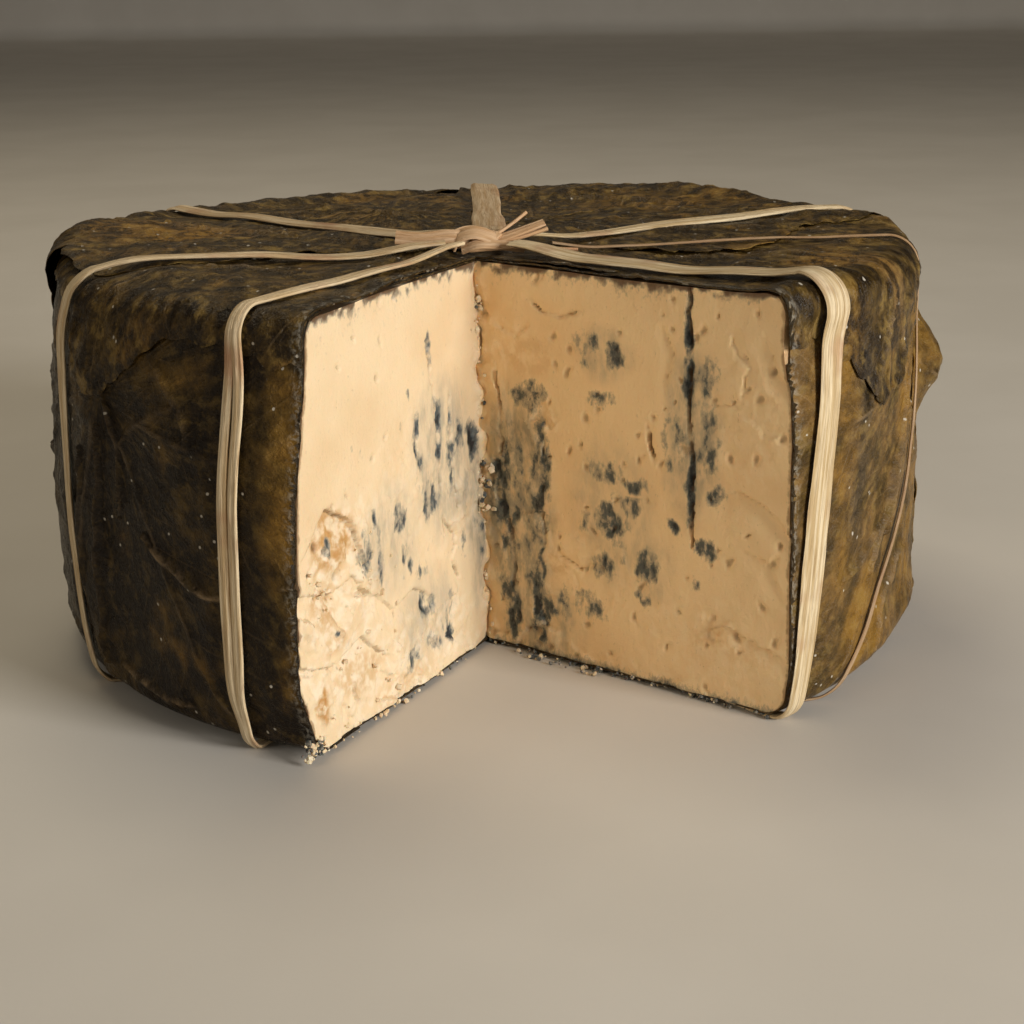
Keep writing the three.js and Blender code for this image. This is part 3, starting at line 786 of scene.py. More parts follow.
CREASES = (
    Crease((-134, 39), (-119, 31), 1.7, 0.9, 0.75),
    Crease((-143, 58), (-144.5, 8), 1.5, 1.0, 0.15, bend=2.5),
    Crease((-141, 66), (-139.5, 40), 1.2, 0.7, 0.3, bend=-2),
    Crease((-148, 52), (-150, 14), 1.8, 1.0, 0.1),
    Crease((-142, 9), (-127, 6.5), 1.5, 0.9, 0.75, bend=1),
    Crease((-126, 66), (-138, 56), 1.4, 0.6, 0.25),
    Crease((-125, 60), (-131, 74), 1.6, 0.7, 0.2),
    Crease((-112, 36), (-106, 44), 1.6, 0.8, 0.3),
    Crease((-113, 62), (-107, 74), 1.4, 0.6, 0.2),
    Crease((-19, 24), (-31, 6), 2.0, 0.9, 0.7, bend=3.0),
    Crease((-20, 60), (-33, 24), 1.5, 0.9, 0.35, bend=-2),
    Crease((-27, 76), (-16, 48), 1.3, 0.7, 0.6, bend=2),
    Crease((-24, 46), (-28, 30), 1.6, 1.2, 0.1),
    Crease((-41, 26), (-30, 33), 1.6, 0.9, 0.35),
    Crease((-30, 79), (-36, 60), 1.3, 0.6, 0.5, bend=1),
    Crease((10, 70), (24, 30), 1.8, 0.9, 0.3),
    Crease((40, 20), (62, 44), 1.8, 0.9, 0.3),
    Crease((75, 70), (88, 28), 1.6, 0.8, 0.25),
    Crease((105, 14), (126, 40), 1.7, 0.9, 0.3),
    Crease((138, 72), (150, 30), 1.7, 0.9, 0.25),
    Crease((168, 20), (190, 44), 1.7, 0.9, 0.2),
    Crease((-72, 12), (-40, -6), 1.5, 0.6, 0.5, on_top=True),
    Crease((-66, -30), (-28, -36), 1.1, 0.45, 0.5, on_top=True),
    Crease((-60, -42), (-34, -50), 1.1, 0.5, 0.45, on_top=True),
    Crease((-50, 40), (-20, 22), 1.6, 0.7, 0.3, on_top=True),
    Crease((20, 62), (52, 40), 2.0, 1.0, 0.25, bend=4, on_top=True),
    Crease((60, 22), (30, 44), 1.8, 0.9, 0.2, on_top=True),
    Crease((34, -30), (66, -36), 1.2, 0.5, 0.4, on_top=True),
    Crease((24, -8), (70, -6), 1.4, 0.6, 0.3, on_top=True),
)


@dataclass(frozen=True)
class Lift:
    """Where a leaf's edge has come away: a bearing, a profile length, how far round it, and how high."""

    bearing: float
    s: float
    reach: float
    height: float

    def at(self, theta: Array, s: Array) -> Array:
        """A hill with level foot and top."""
        across = turn_between(theta, radians(self.bearing)) * WHEEL.radius
        return self.height * (1 - smooth(np.hypot(across, s - self.s) / self.reach))


@dataclass(frozen=True)
class VineLeaf:
    """One vine leaf: where it is laid, its size from the middle to the longest lobe, and that lobe's way."""

    name: str
    laid: Laid
    size: float
    tip: float
    x: float = 0
    y: float = 0
    bearing: float = 0
    drop: float = 0
    seed: int = 0
    shade: float = 0.5
    ochre: float = 0.2
    lifts: tuple[Lift, ...] = ()

    THICKNESS = 0.36
    PITCH = 0.45
    LOBE_TIPS = (0.0, 45.0, 99.0)
    TEETH = 52
    STALK = 0.42
    RIB_PITCH = 8.5
    RIB_SLANT = 0.8

    def lay(self, x: Array, y: Array) -> tuple[Array, Array]:
        """Leaf x and y to a bearing and a profile length: flat on the top or the base, rolled on the side."""
        if self.laid is Laid.SIDE:
            return radians(self.bearing) + x / WHEEL.radius, WHEEL.side_start + self.drop - y
        if self.laid is Laid.BASE:
            px, py = self.x - x, self.y + y
            return np.arctan2(py, px), WHEEL.profile_end - np.hypot(px, py)
        px, py = self.x + x, self.y + y
        return np.arctan2(py, px), np.hypot(px, py)

    def unlay(self, theta: Array, s: Array) -> tuple[Array, Array]:
        """A bearing and a profile length back to leaf x and y."""
        if self.laid is Laid.SIDE:
            x = turn_between(theta, radians(self.bearing)) * WHEEL.radius
            return x, WHEEL.side_start + self.drop - s
        if self.laid is Laid.BASE:
            r = WHEEL.profile_end - s
            return self.x - r * np.cos(theta), r * np.sin(theta) - self.y
        return s * np.cos(theta) - self.x, s * np.sin(theta) - self.y

    def reach(self, angle: Array, toothed: bool = True) -> Array:
        """Half-width in a direction: five lobes, a notch at the stalk, and a margin of uneven teeth.

        Lobes are 0.9 + 0.1 cos(5.8 times the angle from the tip). Teeth are saw-like, with noise on them.
        """
        turn = np.abs(turn_between(angle, radians(self.tip)))
        lobes = 0.9 + 0.1 * np.cos(5.8 * turn)
        notch = 1 - 0.25 * smooth((turn - 2.75) / 0.39)
        if not toothed:
            return self.size * lobes * notch
        circle = at_level(np.cos(angle), np.sin(angle), self.seed)
        tooth = np.abs(np.mod(turn * self.TEETH / FULL_TURN, 1) - 0.35)
        length = 0.8 + 0.8 * Lumps(self.seed).at(circle, 0.2)
        wander = 2.2 * Lumps(self.seed + 1).layered(circle, 0.3)
        return self.size * lobes * notch + 0.8 + length * (0.9 - 2.6 * tooth) + wander

    def coverage(self, theta: Array, s: Array) -> Array:
        """1 under the leaf, falling to 0 over the few millimetres in which what lies on top comes down."""
        x, y = self.unlay(theta, s)
        past = np.hypot(x, y) - self.reach(np.arctan2(y, x), toothed=False)
        return 1 - smooth((past - 1.5) / 7)

    def stalk_frame(self, x: Array, y: Array) -> tuple[Array, Array]:
        """Leaf x and y as seen from the foot of the stalk, with the tip ahead, bent a little by noise."""
        tip = radians(self.tip)
        ahead = x * cos(tip) + y * sin(tip)
        aside = y * cos(tip) - x * sin(tip)
        space = at_level(ahead, aside, self.seed * 9.0)
        lumps = Lumps(self.seed + 2)
        aside = aside + 2.4 * lumps.at(space + 77, 24)
        return ahead + self.STALK * self.size + 2.4 * lumps.at(space, 26), aside

    def veins(self, x: Array, y: Array) -> Array:
        """Height of the veins: five main ones fan out from the stalk, with ribs that leave them aslant.

        With rho and phi the polar place seen from the stalk, and delta the angle to the nearest main vein,
        a main vein is where rho sin(delta) is under its half-width, and a rib where rho cos(delta) less
        slant times rho sin(delta) is a multiple of the ribs' pitch.
        """
        ahead, aside = self.stalk_frame(x, y)
        rho, phi = np.hypot(ahead, aside), np.abs(np.arctan2(aside, ahead))
        delta = np.min([np.abs(phi - radians(a)) for a in self.LOBE_TIPS], axis=0)
        along, across = rho * np.cos(delta), rho * np.sin(delta)
        main = 1 - smooth(across / (1.6 - 1.0 * np.clip(along / 110, 0, 1)))
        beat = (along - self.RIB_SLANT * across) / self.RIB_PITCH
        rib = 1 - smooth(np.abs(beat - np.round(beat)) * self.RIB_PITCH / 0.9)
        swell = np.cos(beat * FULL_TURN) * smooth(across / 6)
        return 0.34 * main + 0.1 * rib * (along < 0.85 * self.size * 1.42) - 0.09 * swell

    def relief(self, theta: Array, s: Array) -> Array:
        """The leaf's own height over what it lies on: veins, puckers between them, and lifted edges."""
        x, y = self.unlay(theta, s)
        space = at_level(x, y, self.seed * 4.0)
        lumps = Lumps(self.seed + 3)
        puckers = 0.38 * lumps.creases(space, 14, 3) + 0.2 * lumps.creases(space + 50, 7, 3)
        puckers = puckers + 0.08 * lumps.at(space, 5) + 0.03 * lumps.at(space, 2)
        return np.maximum(0, 0.12 + self.veins(x, y) + puckers)

    def edge_lift(self, theta: Array, s: Array) -> Array:
        """How far the margin curls up, unevenly, and where it has come right away."""
        x, y = self.unlay(theta, s)
        inside = self.reach(np.arctan2(y, x)) - np.hypot(x, y)
        space = at_level(x, y, self.seed * 6.0)
        curl = np.clip(0.9 * Lumps(self.seed + 4).at(space, 16) - 0.1, 0, 0.9)
        lift = curl * (1 - smooth(inside / 6))
        return lift + sum(lift.at(theta, s) for lift in self.lifts)


LEAVES = (
    VineLeaf("leaf_base", Laid.BASE, 98, 70, x=0, y=3, seed=301, shade=0.2),
    # The leaves on the wheel's left side have a low shade: partly their own dark colour, partly painted shade
    # away from the key lamp.
    VineLeaf("leaf_side_left", Laid.SIDE, 68, 95, 0, 0, 177, 39, 311, shade=0.06, ochre=0.05),
    VineLeaf("leaf_side_back", Laid.SIDE, 67, 80, 0, 0, 77, 38, 321, shade=0.4, ochre=0.35),
    VineLeaf("leaf_side_front_right", Laid.SIDE, 68, 235, 0, 0, -24, 38, 331, shade=0.7, ochre=0.5),
    VineLeaf("leaf_side_front_left", Laid.SIDE, 68, -60, 0, 0, -134, 39, 341, shade=0.12, ochre=0.2),
    VineLeaf("leaf_side_back_left", Laid.SIDE, 67, 265, 0, 0, 127, 38, 351, shade=0.25, ochre=0.1),
    VineLeaf(
        "leaf_side_back_right", Laid.SIDE, 67, 100, bearing=27, drop=38, seed=361, shade=0.6, ochre=0.9,
        lifts=(Lift(-2, WHEEL.side_start + 22, 15, 7),),
    ),
    VineLeaf("leaf_top_front_right", Laid.TOP, 65.5, -30, x=42, y=-26, seed=381, shade=0.4, ochre=0.3),
    VineLeaf("leaf_top_back_right", Laid.TOP, 66.5, 50, x=30.5, y=37, seed=391, shade=0.4, ochre=0.35),
    VineLeaf("leaf_top_front_left", Laid.TOP, 63, 216, x=-36, y=-29, seed=401, shade=0.35, ochre=0.25),
    VineLeaf(
        "leaf_top_back_left", Laid.TOP, 67, 190, x=-50, y=24, seed=371, shade=0.45, ochre=0.3,
        lifts=(Lift(-165, WHEEL.top_end + 9, 18, 3.8), Lift(180, WHEEL.top_end + 2, 28, 2.2)),
    ),
)


KNOT_PLACE = (-0.5, -26.0)
CROSSING_PLACE = (0.0, -6.0)
CROSSING_RADIUS = 11


@dataclass(frozen=True)
class Strand:
    """A strand of raffia: its bearings at the two rims, its width, and how far from the knot it starts.

    slack is the power of the way down by which it swings over, split how far apart its two ribbons run,
    tuck how far from the crossing's middle it ends, and foot its share of its width at the base.
    """

    name: str
    top: float
    base: float
    width: float
    start: float = 6
    seed: int = 0
    split: float = 0.0
    slack: float = 1.0
    tuck: float = CROSSING_RADIUS - 3
    hub: tuple[float, float] = KNOT_PLACE
    shade: float = 0.0
    foot: float = 0.9
    bow: float = 0.0
    thickness: float = 0.85

    def bearing_at(self, s: Array) -> Array:
        """The strand's bearing down the side, from the top rim's to the base rim's, with a bow half way."""
        share = np.clip((s - WHEEL.top_end) / (WHEEL.base_start - WHEEL.top_end), 0, 1) ** self.slack
        return np.radians(self.top + (self.base - self.top) * share + self.bow * np.sin(pi * share))

    def distance(self, theta: Array, s: Array) -> Array:
        """Distance from places on the wheel to the strand's middle line, on the top and down the side."""
        hub = np.array(self.hub)
        way = along_bearing(self.top) * WHEEL.top_end - hub
        length = np.hypot(*way)
        way = way / length
        px, py = s * np.cos(theta) - hub[0], s * np.sin(theta) - hub[1]
        along = np.clip(px * way[0] + py * way[1], 0, length)
        over = np.hypot(px - along * way[0], py - along * way[1])
        down = np.abs(turn_between(theta, self.bearing_at(s))) * WHEEL.radius
        return np.where(s < WHEEL.top_end, over, down)


STRANDS = (
    Strand("raffia_back", 91, 93, 7.4, seed=501, hub=(2.0, -24.0), shade=0.35),
    Strand("raffia_back_left", 149, 147, 4.6, seed=511, hub=(-2.0, -22.0), shade=0.15),
    Strand("raffia_left", -152, -149, 4.0, seed=521, hub=(-1.5, -31.0), shade=0.1, bow=-3.6),
    Strand("raffia_front_left", -117.9, -118.7, 2.1, seed=531, split=2.6, shade=0.1),
    Strand("raffia_front_right", -45.5, -50, 7.1, start=8, seed=541, slack=1.4, foot=0.62),
    Strand("raffia_right", -10, -44.5, 1.3, start=15, seed=551, slack=2.2, tuck=60, shade=1.0, thickness=0.5),
    Strand("raffia_back_right", 19, 22, 4.6, seed=561, hub=(1.0, -24.0)),
)


@dataclass(frozen=True)
class Patch:
    """A patch that goes through the wrap, on the side at (bearing, z) or on the top at (x, y): mostly a
    stain, but in places painted shade.

    tone makes the leaves lighter or darker, ochre yellower, and grey duller.
    """

    place: tuple[float, float]
    wide: float
    tall: float
    tone: float = 0.0
    ochre: float = 0.0
    grey: float = 0.0
    on_top: bool = False

    def weigh(self, theta: Array, s: Array) -> Array:
        """1 in the middle, falling to 0 at the edge of an ellipse."""
        if self.on_top:
            u, v = s * np.cos(theta) - self.place[0], s * np.sin(theta) - self.place[1]
            near = s < WHEEL.side_start
        else:
            u = turn_between(theta, radians(self.place[0])) * WHEEL.radius
            v = s - WHEEL.length_at_height(self.place[1])
            near = s > WHEEL.top_end - 10
        return near * (1 - smooth((np.hypot(u / self.wide, v / self.tall) - 0.35) / 0.65))


PATCHES = (
    Patch((-38.5, 52), 7, 34, -0.5, grey=0.5),
    Patch((-29, 76), 8, 14, 0.35, 0.1, grey=0.2),
    Patch((-17, 62), 15, 26, 0.3, 0.5),
    Patch((-30, 66), 5, 22, 0.2, 0.4),
    # Painted shade: this patch's low tone darkens the wrap near the foot on the right; its ochre is stain.
    Patch((-34, 12), 15, 15, -0.45, 1.0),
    Patch((-41, 56), 6, 40, -0.25, 0.5),
    Patch((-22, 38), 12, 10, 0.1, grey=0.5),
    # Painted shade: this patch's low tone darkens the wrap near the foot on the right; its ochre is stain.
    Patch((-16, 18), 12, 24, -0.5, 0.6),
    Patch((-110, 55), 11, 34, 0.3, 0.6),
    Patch((-109, 16), 10, 20, 0.05, 0.3),
    Patch((-128, 24), 14, 16, 0.12, 0.25),
    # These three darken the wrap on the wheel's left side: partly painted shade away from the key lamp.
    Patch((-138, 40), 18, 34, -0.4),
    Patch((-152, 34), 16, 34, -0.5),
    Patch((-170, 40), 30, 40, -0.3),
    Patch((-130, 76), 22, 9, 0.1, 0.3),
    Patch((-158, 76), 18, 10, 0.1, 0.35),
    Patch((-68, -2), 26, 20, 0.55, 0.8, on_top=True),
    Patch((-40, -60), 26, 16, 0.05, 0.2, on_top=True),
    Patch((-16, 66), 40, 20, 0.15, 0.35, on_top=True),
    Patch((44, 50), 34, 26, 0.1, 0.5, on_top=True),
    Patch((62, -24), 26, 16, 0.15, 0.3, on_top=True),
    Patch((30, -34), 30, 9, -0.3, on_top=True),
    Patch((70, -44), 14, 12, 0.55, 0.6, on_top=True),
    Patch((60, 30), 9, 26, 0.1, 0.6),
    Patch((120, 44), 34, 26, 0.15, 0.4),
    Patch((70, 24), 30, 20, -0.25),
)


class Wrap:
    """The leaves one on another: the height of every layer over the wheel, and the leaves' meshes."""

    GAP = 0.06
    AROUND = 380
    RINGS = 92

    def __init__(self) -> None:
        """Seeds the wrinkles that go through all the layers."""
        self.wrinkles = Lumps(71)

    def calm(self, theta: Array, s: Array) -> Array:
        """How free the leaves are to stand up: 1, but little under a strand of the tie or under the wheel."""
        nearest = np.full(np.shape(theta), 1e3)
        for strand in STRANDS:
            nearest = np.minimum(nearest, strand.distance(theta, s) - strand.width / 2 - strand.split / 2)
        free = 1 - 0.85 * (1 - smooth(nearest / 3.5))
        return free * (1 - 0.9 * smooth((s - WHEEL.side_end + 3) / 8))

    def shared(self, theta: Array, s: Array, calm: Array) -> Array:
        """Wrinkles that show through every layer, in millimetres: slight on the top, fuller down the side."""
        place = WHEEL.point(theta, s, 0 * theta)
        folds = 0.8 * self.wrinkles.creases(place, 30) + 0.35 * self.wrinkles.creases(place + 60, 15, 3)
        height = folds + 0.3 * self.wrinkles.at(place, 13) + 0.1
        return height * calm * (0.3 + 0.55 * smooth((s - WHEEL.top_end + 4) / 14))

    @staticmethod
    def creased(theta: Array, s: Array) -> tuple[Array, Array]:
        """Height and paleness of the named creases. The paleness is partly the folds' own paler colour and
        partly a painted highlight on their ridges.
        """
        height, pale = 0 * theta, 0 * theta
        for crease in CREASES:
            weight = crease.weigh(theta, s)
            height = np.maximum(height, crease.height * weight)
            pale = np.maximum(pale, crease.pale * weight)
        return height, pale

    @staticmethod
    def patch_tones(theta: Array, s: Array) -> Array:
        """The tone, ochre and grey that the patches add up to."""
        result = np.zeros((*np.shape(theta), 3))
        for patch in PATCHES:
            weight = patch.weigh(theta, s)[..., None]
            result += weight * np.array([patch.tone, patch.ochre, patch.grey])
        return result

    @staticmethod
    def own(leaf: VineLeaf, theta: Array, s: Array, calm: Array) -> Array:
        """A leaf's relief and lifted edges, as far as it is free to stand up."""
        return leaf.relief(theta, s) * calm + leaf.edge_lift(theta, s) * calm**0.5

    def layers(self, theta: Array, s: Array, calm: Array) -> Array:
        """What each leaf adds to the wrap at each place: its pitch and relief, where it lies."""
        result = np.zeros((len(LEAVES), *np.shape(theta)))
        for number, leaf in enumerate(LEAVES):
            cover = leaf.coverage(theta, s)
            laid = cover > 0
            own = self.own(leaf, theta[laid], s[laid], calm[laid])
            result[number][laid] = (VineLeaf.PITCH + own) * cover[laid]
        return result

    def paste_height(self, theta: Array, s: Array, calm: Array, layers: Array) -> Array:
        """The paste's own outside. It gives way on the base, so that the wrap's underside is flat."""
        pressed = smooth((s - WHEEL.side_end) / (WHEEL.base_start - WHEEL.side_end))
        low = 0.6 * self.shared(theta, s, calm)
        return WHEEL.lumps(theta, s) + low - pressed * (low + layers.sum(axis=0))

    def heights(self, theta: Array, s: Array) -> tuple[Array, Array, Array]:
        """The paste's height, all the layers, and how free they are."""
        calm = self.calm(theta, s)
        layers = self.layers(theta, s, calm)
        return self.paste_height(theta, s, calm, layers), layers, calm

    def top_height(self, theta: Array, s: Array) -> Array:
        """Height of the finished wrap over the wheel's smooth profile."""
        paste, layers, calm = self.heights(theta, s)
        return paste + layers.sum(axis=0) + self.creased(theta, s)[0] * calm + self.GAP

    def leaf_shell(self, index: int) -> Part:
        """One leaf as a closed thin shell on a grid of directions and shares of its half-width.

        The outer skin is the underside raised by the leaf's thickness, thinned towards the margin.
        """
        leaf = LEAVES[index]
        around, rings = (200, 50) if leaf.laid is Laid.BASE else (self.AROUND, self.RINGS)
        angle = np.linspace(0, FULL_TURN, around, endpoint=False)[None, :]
        share = (np.arange(1, rings + 1) / rings)[:, None] ** 0.85
        reach = leaf.reach(angle) * share
        x, y = reach * np.cos(angle), reach * np.sin(angle)
        x, y = np.append(x.ravel(), 0.0), np.append(y.ravel(), 0.0)
        theta, s = leaf.lay(x, y)
        paste, layers, calm = self.heights(theta, s)
        creased, pale = self.creased(theta, s)
        own = self.own(leaf, theta, s, calm)
        under = paste + layers[:index].sum(axis=0) + self.GAP + creased * calm + own
        thick = VineLeaf.THICKNESS * np.append(np.repeat(1 - 0.55 * share[:, 0] ** 8, around), 1.0)
        outer = WHEEL.point(theta, s, under + thick)
        inner = WHEEL.point(theta, s, under)
        skins = [skin[:-1].reshape(rings, around, 3) for skin in (outer, inner)]
        shell = Shell.from_rings(np.concatenate([skins[0], skins[1][::-1]]), outer[-1:], inner[-1:])
        ahead, aside = leaf.stalk_frame(x, y)
        cut = np.clip(1 - CUT.depth_inside(outer) / 6, 0, 1)
        place = at_level(ahead, aside, leaf.seed % 89)
        marks = at_level(pale, cut, 0)
        values = {}
        for key, value in {"leaf": place, "marks": marks, "stain_and_shade": self.patch_tones(theta, s)}.items():
            grid = value[:-1].reshape(rings, around, 3)
            values[key] = np.vstack([value[-1:], grid.reshape(-1, 3), grid[::-1].reshape(-1, 3), value[-1:]])
        return shell, values


@dataclass
class Nodes:
    """A material under construction, with short ways to add and join its nodes, and noise in 3D or 2D."""

    name: str
    sides: str = "3D"
    material: Material = field(init=False)

    def __post_init__(self) -> None:
        """Makes the empty material."""
        self.material = bpy.data.materials.new(self.name)
        self.material.use_nodes = True
        self.tree = self.material.node_tree
        self.tree.nodes.clear()

    def add(self, kind: str, inputs: dict | None = None, **settings: object) -> bpy.types.Node:
        """Adds a node, sets its options, and sets or joins its inputs by name or number."""
        node = self.tree.nodes.new(kind)
        for key, value in settings.items():
            setattr(node, key, value)
        for key, value in (inputs or {}).items():
            if isinstance(value, Socket):
                self.tree.links.new(value, node.inputs[key])
            else:
                node.inputs[key].default_value = value
        return node

    def math(self, operation: str, *values: object) -> Socket:
        """One step of arithmetic."""
        return self.add("ShaderNodeMath", dict(enumerate(values)), operation=operation).outputs[0]

    def times(self, one: object, other: object) -> Socket:
        """The product of two values."""
        return self.math("MULTIPLY", one, other)

    def times_plus(self, one: object, other: object, more: object) -> Socket:
        """The product of two values, plus a third."""
        return self.math("MULTIPLY_ADD", one, other, more)

    def plus(self, one: object, other: object) -> Socket:
        """The sum of two values."""
        return self.math("ADD", one, other)

    def less(self, one: object, other: object) -> Socket:
        """One value less another."""
        return self.math("SUBTRACT", one, other)

    def attribute(self, name: str, output: str = "Vector") -> Socket:
        """What the mesh holds under a name."""
        return self.add("ShaderNodeAttribute", attribute_name=name).outputs[output]

    def parts(self, vector: Socket) -> list[Socket]:
        """The three parts of a vector."""
        return list(self.add("ShaderNodeSeparateXYZ", {0: vector}).outputs)

    def vector(self, x: object, y: object, z: object) -> Socket:
        """A vector from three parts."""
        return self.add("ShaderNodeCombineXYZ", {0: x, 1: y, 2: z}).outputs[0]

    def place(self, scale: Triple = (1, 1, 1)) -> Socket:
        """Object coordinates in millimetres, stretched by a scale on each axis."""
        coordinates = self.add("ShaderNodeTexCoord").outputs["Object"]
        sizes = tuple(value / MILLIMETRE for value in scale)
        return self.add("ShaderNodeMapping", {"Vector": coordinates, "Scale": sizes}).outputs[0]

    def noise(self, where: object, size: float, detail: float = 3, rough: float = 0.55) -> Socket:
        """Cloudy noise from 0 to 1 with lumps of a size in the unit of where."""
        inputs = {"Vector": where, "Scale": 1 / size, "Detail": detail, "Roughness": rough}
        return self.add("ShaderNodeTexNoise", inputs, noise_dimensions=self.sides).outputs[0]

    def cells(self, where: object, size: float, feature: str = "F1") -> bpy.types.Node:
        """Scattered cells of a size in the unit of where."""
        inputs = {"Vector": where, "Scale": 1 / size}
        return self.add("ShaderNodeTexVoronoi", inputs, feature=feature, voronoi_dimensions=self.sides)

    def step(self, value: object, low: float, high: float) -> Socket:
        """0 below low, 1 above high, and smooth between. High may be the lower of the two."""
        inputs = {"Value": value, "From Min": low, "From Max": high}
        return self.add("ShaderNodeMapRange", inputs, interpolation_type="SMOOTHSTEP", clamp=True).outputs[0]

    def mix(self, share: object, one: object, other: object) -> Socket:
        """A colour between two, by a share."""
        node = self.add("ShaderNodeMix", data_type="RGBA")
        for socket, value in zip((node.inputs[0], node.inputs[6], node.inputs[7]), (share, one, other)):
            if isinstance(value, Socket):
                self.tree.links.new(value, socket)
            else:
                socket.default_value = (*value, 1.0) if isinstance(value, tuple) else value
        return node.outputs[2]

    def finish(
        self, colour: object, roughness: object, bump: object, height: float, **fixed: float
    ) -> Material:
        """Joins everything to the shader: bump is a relief from 0 to 1, and height its size in mm."""
        inputs = {"Height": bump, "Distance": height * MILLIMETRE, "Strength": 1.0}
        normal = self.add("ShaderNodeBump", inputs).outputs[0]
        inputs = {"Base Color": colour, "Roughness": roughness, "Normal": normal}
        shader = self.add("ShaderNodeBsdfPrincipled", inputs)
        for key, value in fixed.items():
            shader.inputs[key.replace("_", " ")].default_value = value
        output = self.add("ShaderNodeOutputMaterial")
        self.tree.links.new(shader.outputs[0], output.inputs[0])
        return self.material


@dataclass(frozen=True)
class PasteFinish:
    """Cut blue cheese: waxy cream paste, ochre where it has ripened, and grey-blue to black mould."""

    cream: Triple = (0.85, 0.68, 0.42)
    ripe: Triple = (0.72, 0.51, 0.27)
    white: Triple = (0.90, 0.79, 0.58)
    ochre: Triple = (0.52, 0.27, 0.07)
    smear: Triple = (0.30, 0.285, 0.22)
    blue: Triple = (0.085, 0.100, 0.095)
    black: Triple = (0.012, 0.015, 0.016)
    crack: Triple = (0.16, 0.09, 0.035)
    rind: Triple = (0.30, 0.19, 0.09)
    # left and right tint the two cut faces of the one paste: the left's paler tint is painted light, the
    # right's warmer, deeper tint is painted shade and warm bounce light.
    left: Triple = (0.90, 0.875, 0.89)
    right: Triple = (1.10, 0.96, 0.80)

    def material(self) -> Material:
        """Reads the mesh's tints (mould, crack shade and top edge, smear), grounds (ochre, rind, crumbs) and
        shaded face, the right face that is tinted with painted shade.
        """
        n = Nodes("paste_finish")
        mould, crack_shade_and_top_edge, smear = n.parts(n.attribute("tints"))
        ochre, rind, crumbs = n.parts(n.attribute("grounds"))
        place = n.place()
        fine = n.noise(n.place((1, 1, 0.6)), 0.8, 3, 0.68)
        colour = n.mix(n.times(n.step(n.noise(place, 18, 2), 0.38, 0.8), 0.55), self.cream, self.ripe)
        soft = n.noise(place, 2.6, 3)
        colour = n.mix(n.times(crumbs, n.times(n.step(soft, 0.42, 0.66), 0.7)), colour, self.white)
        colour = n.mix(n.times(ochre, n.step(soft, 0.66, 0.36)), colour, self.ochre)
        cloud = n.step(n.noise(n.place((1, 1, 0.4)), 2.6, 3, 0.62), 0.36, 0.68)
        colour = n.mix(n.times(smear, n.times_plus(cloud, 0.66, 0.3)), colour, self.smear)
        grain = n.times_plus(n.less(fine, 0.5), 0.95, mould)
        colour = n.mix(n.times(n.step(grain, 0.10, 0.42), 0.75), colour, self.smear)
        colour = n.mix(n.step(grain, 0.36, 0.66), colour, self.blue)
        colour = n.mix(n.step(grain, 0.66, 0.95), colour, self.black)
        # Painted shade: the paste darkens to crack brown in the tears and flaws and below their steps; the
        # top edge is darkened with it.
        colour = n.mix(n.times(n.step(crack_shade_and_top_edge, 0.15, 0.9), 0.75), colour, self.crack)
        edge = n.times_plus(n.less(soft, 0.5), 1.2, rind)
        colour = n.mix(n.times(n.step(edge, 0.55, 1.0), 0.8), colour, self.rind)
        colour = n.mix(n.times(n.step(fine, 0.36, 0.22), 0.3), colour, self.crack)
        # Painted light and shade: a tint for each face makes the left face paler and the right face warmer
        # and deeper.
        face_light_tint = n.mix(n.attribute("shaded_face", "Fac"), self.left, self.right)
        colour = n.add("ShaderNodeVectorMath", {0: colour, 1: face_light_tint}, operation="MULTIPLY").outputs[0]
        rough = n.times_plus(soft, 0.25, 0.42)
        return n.finish(colour, rough, fine, 0.15, Subsurface_Weight=0.1, Subsurface_Scale=0.002)


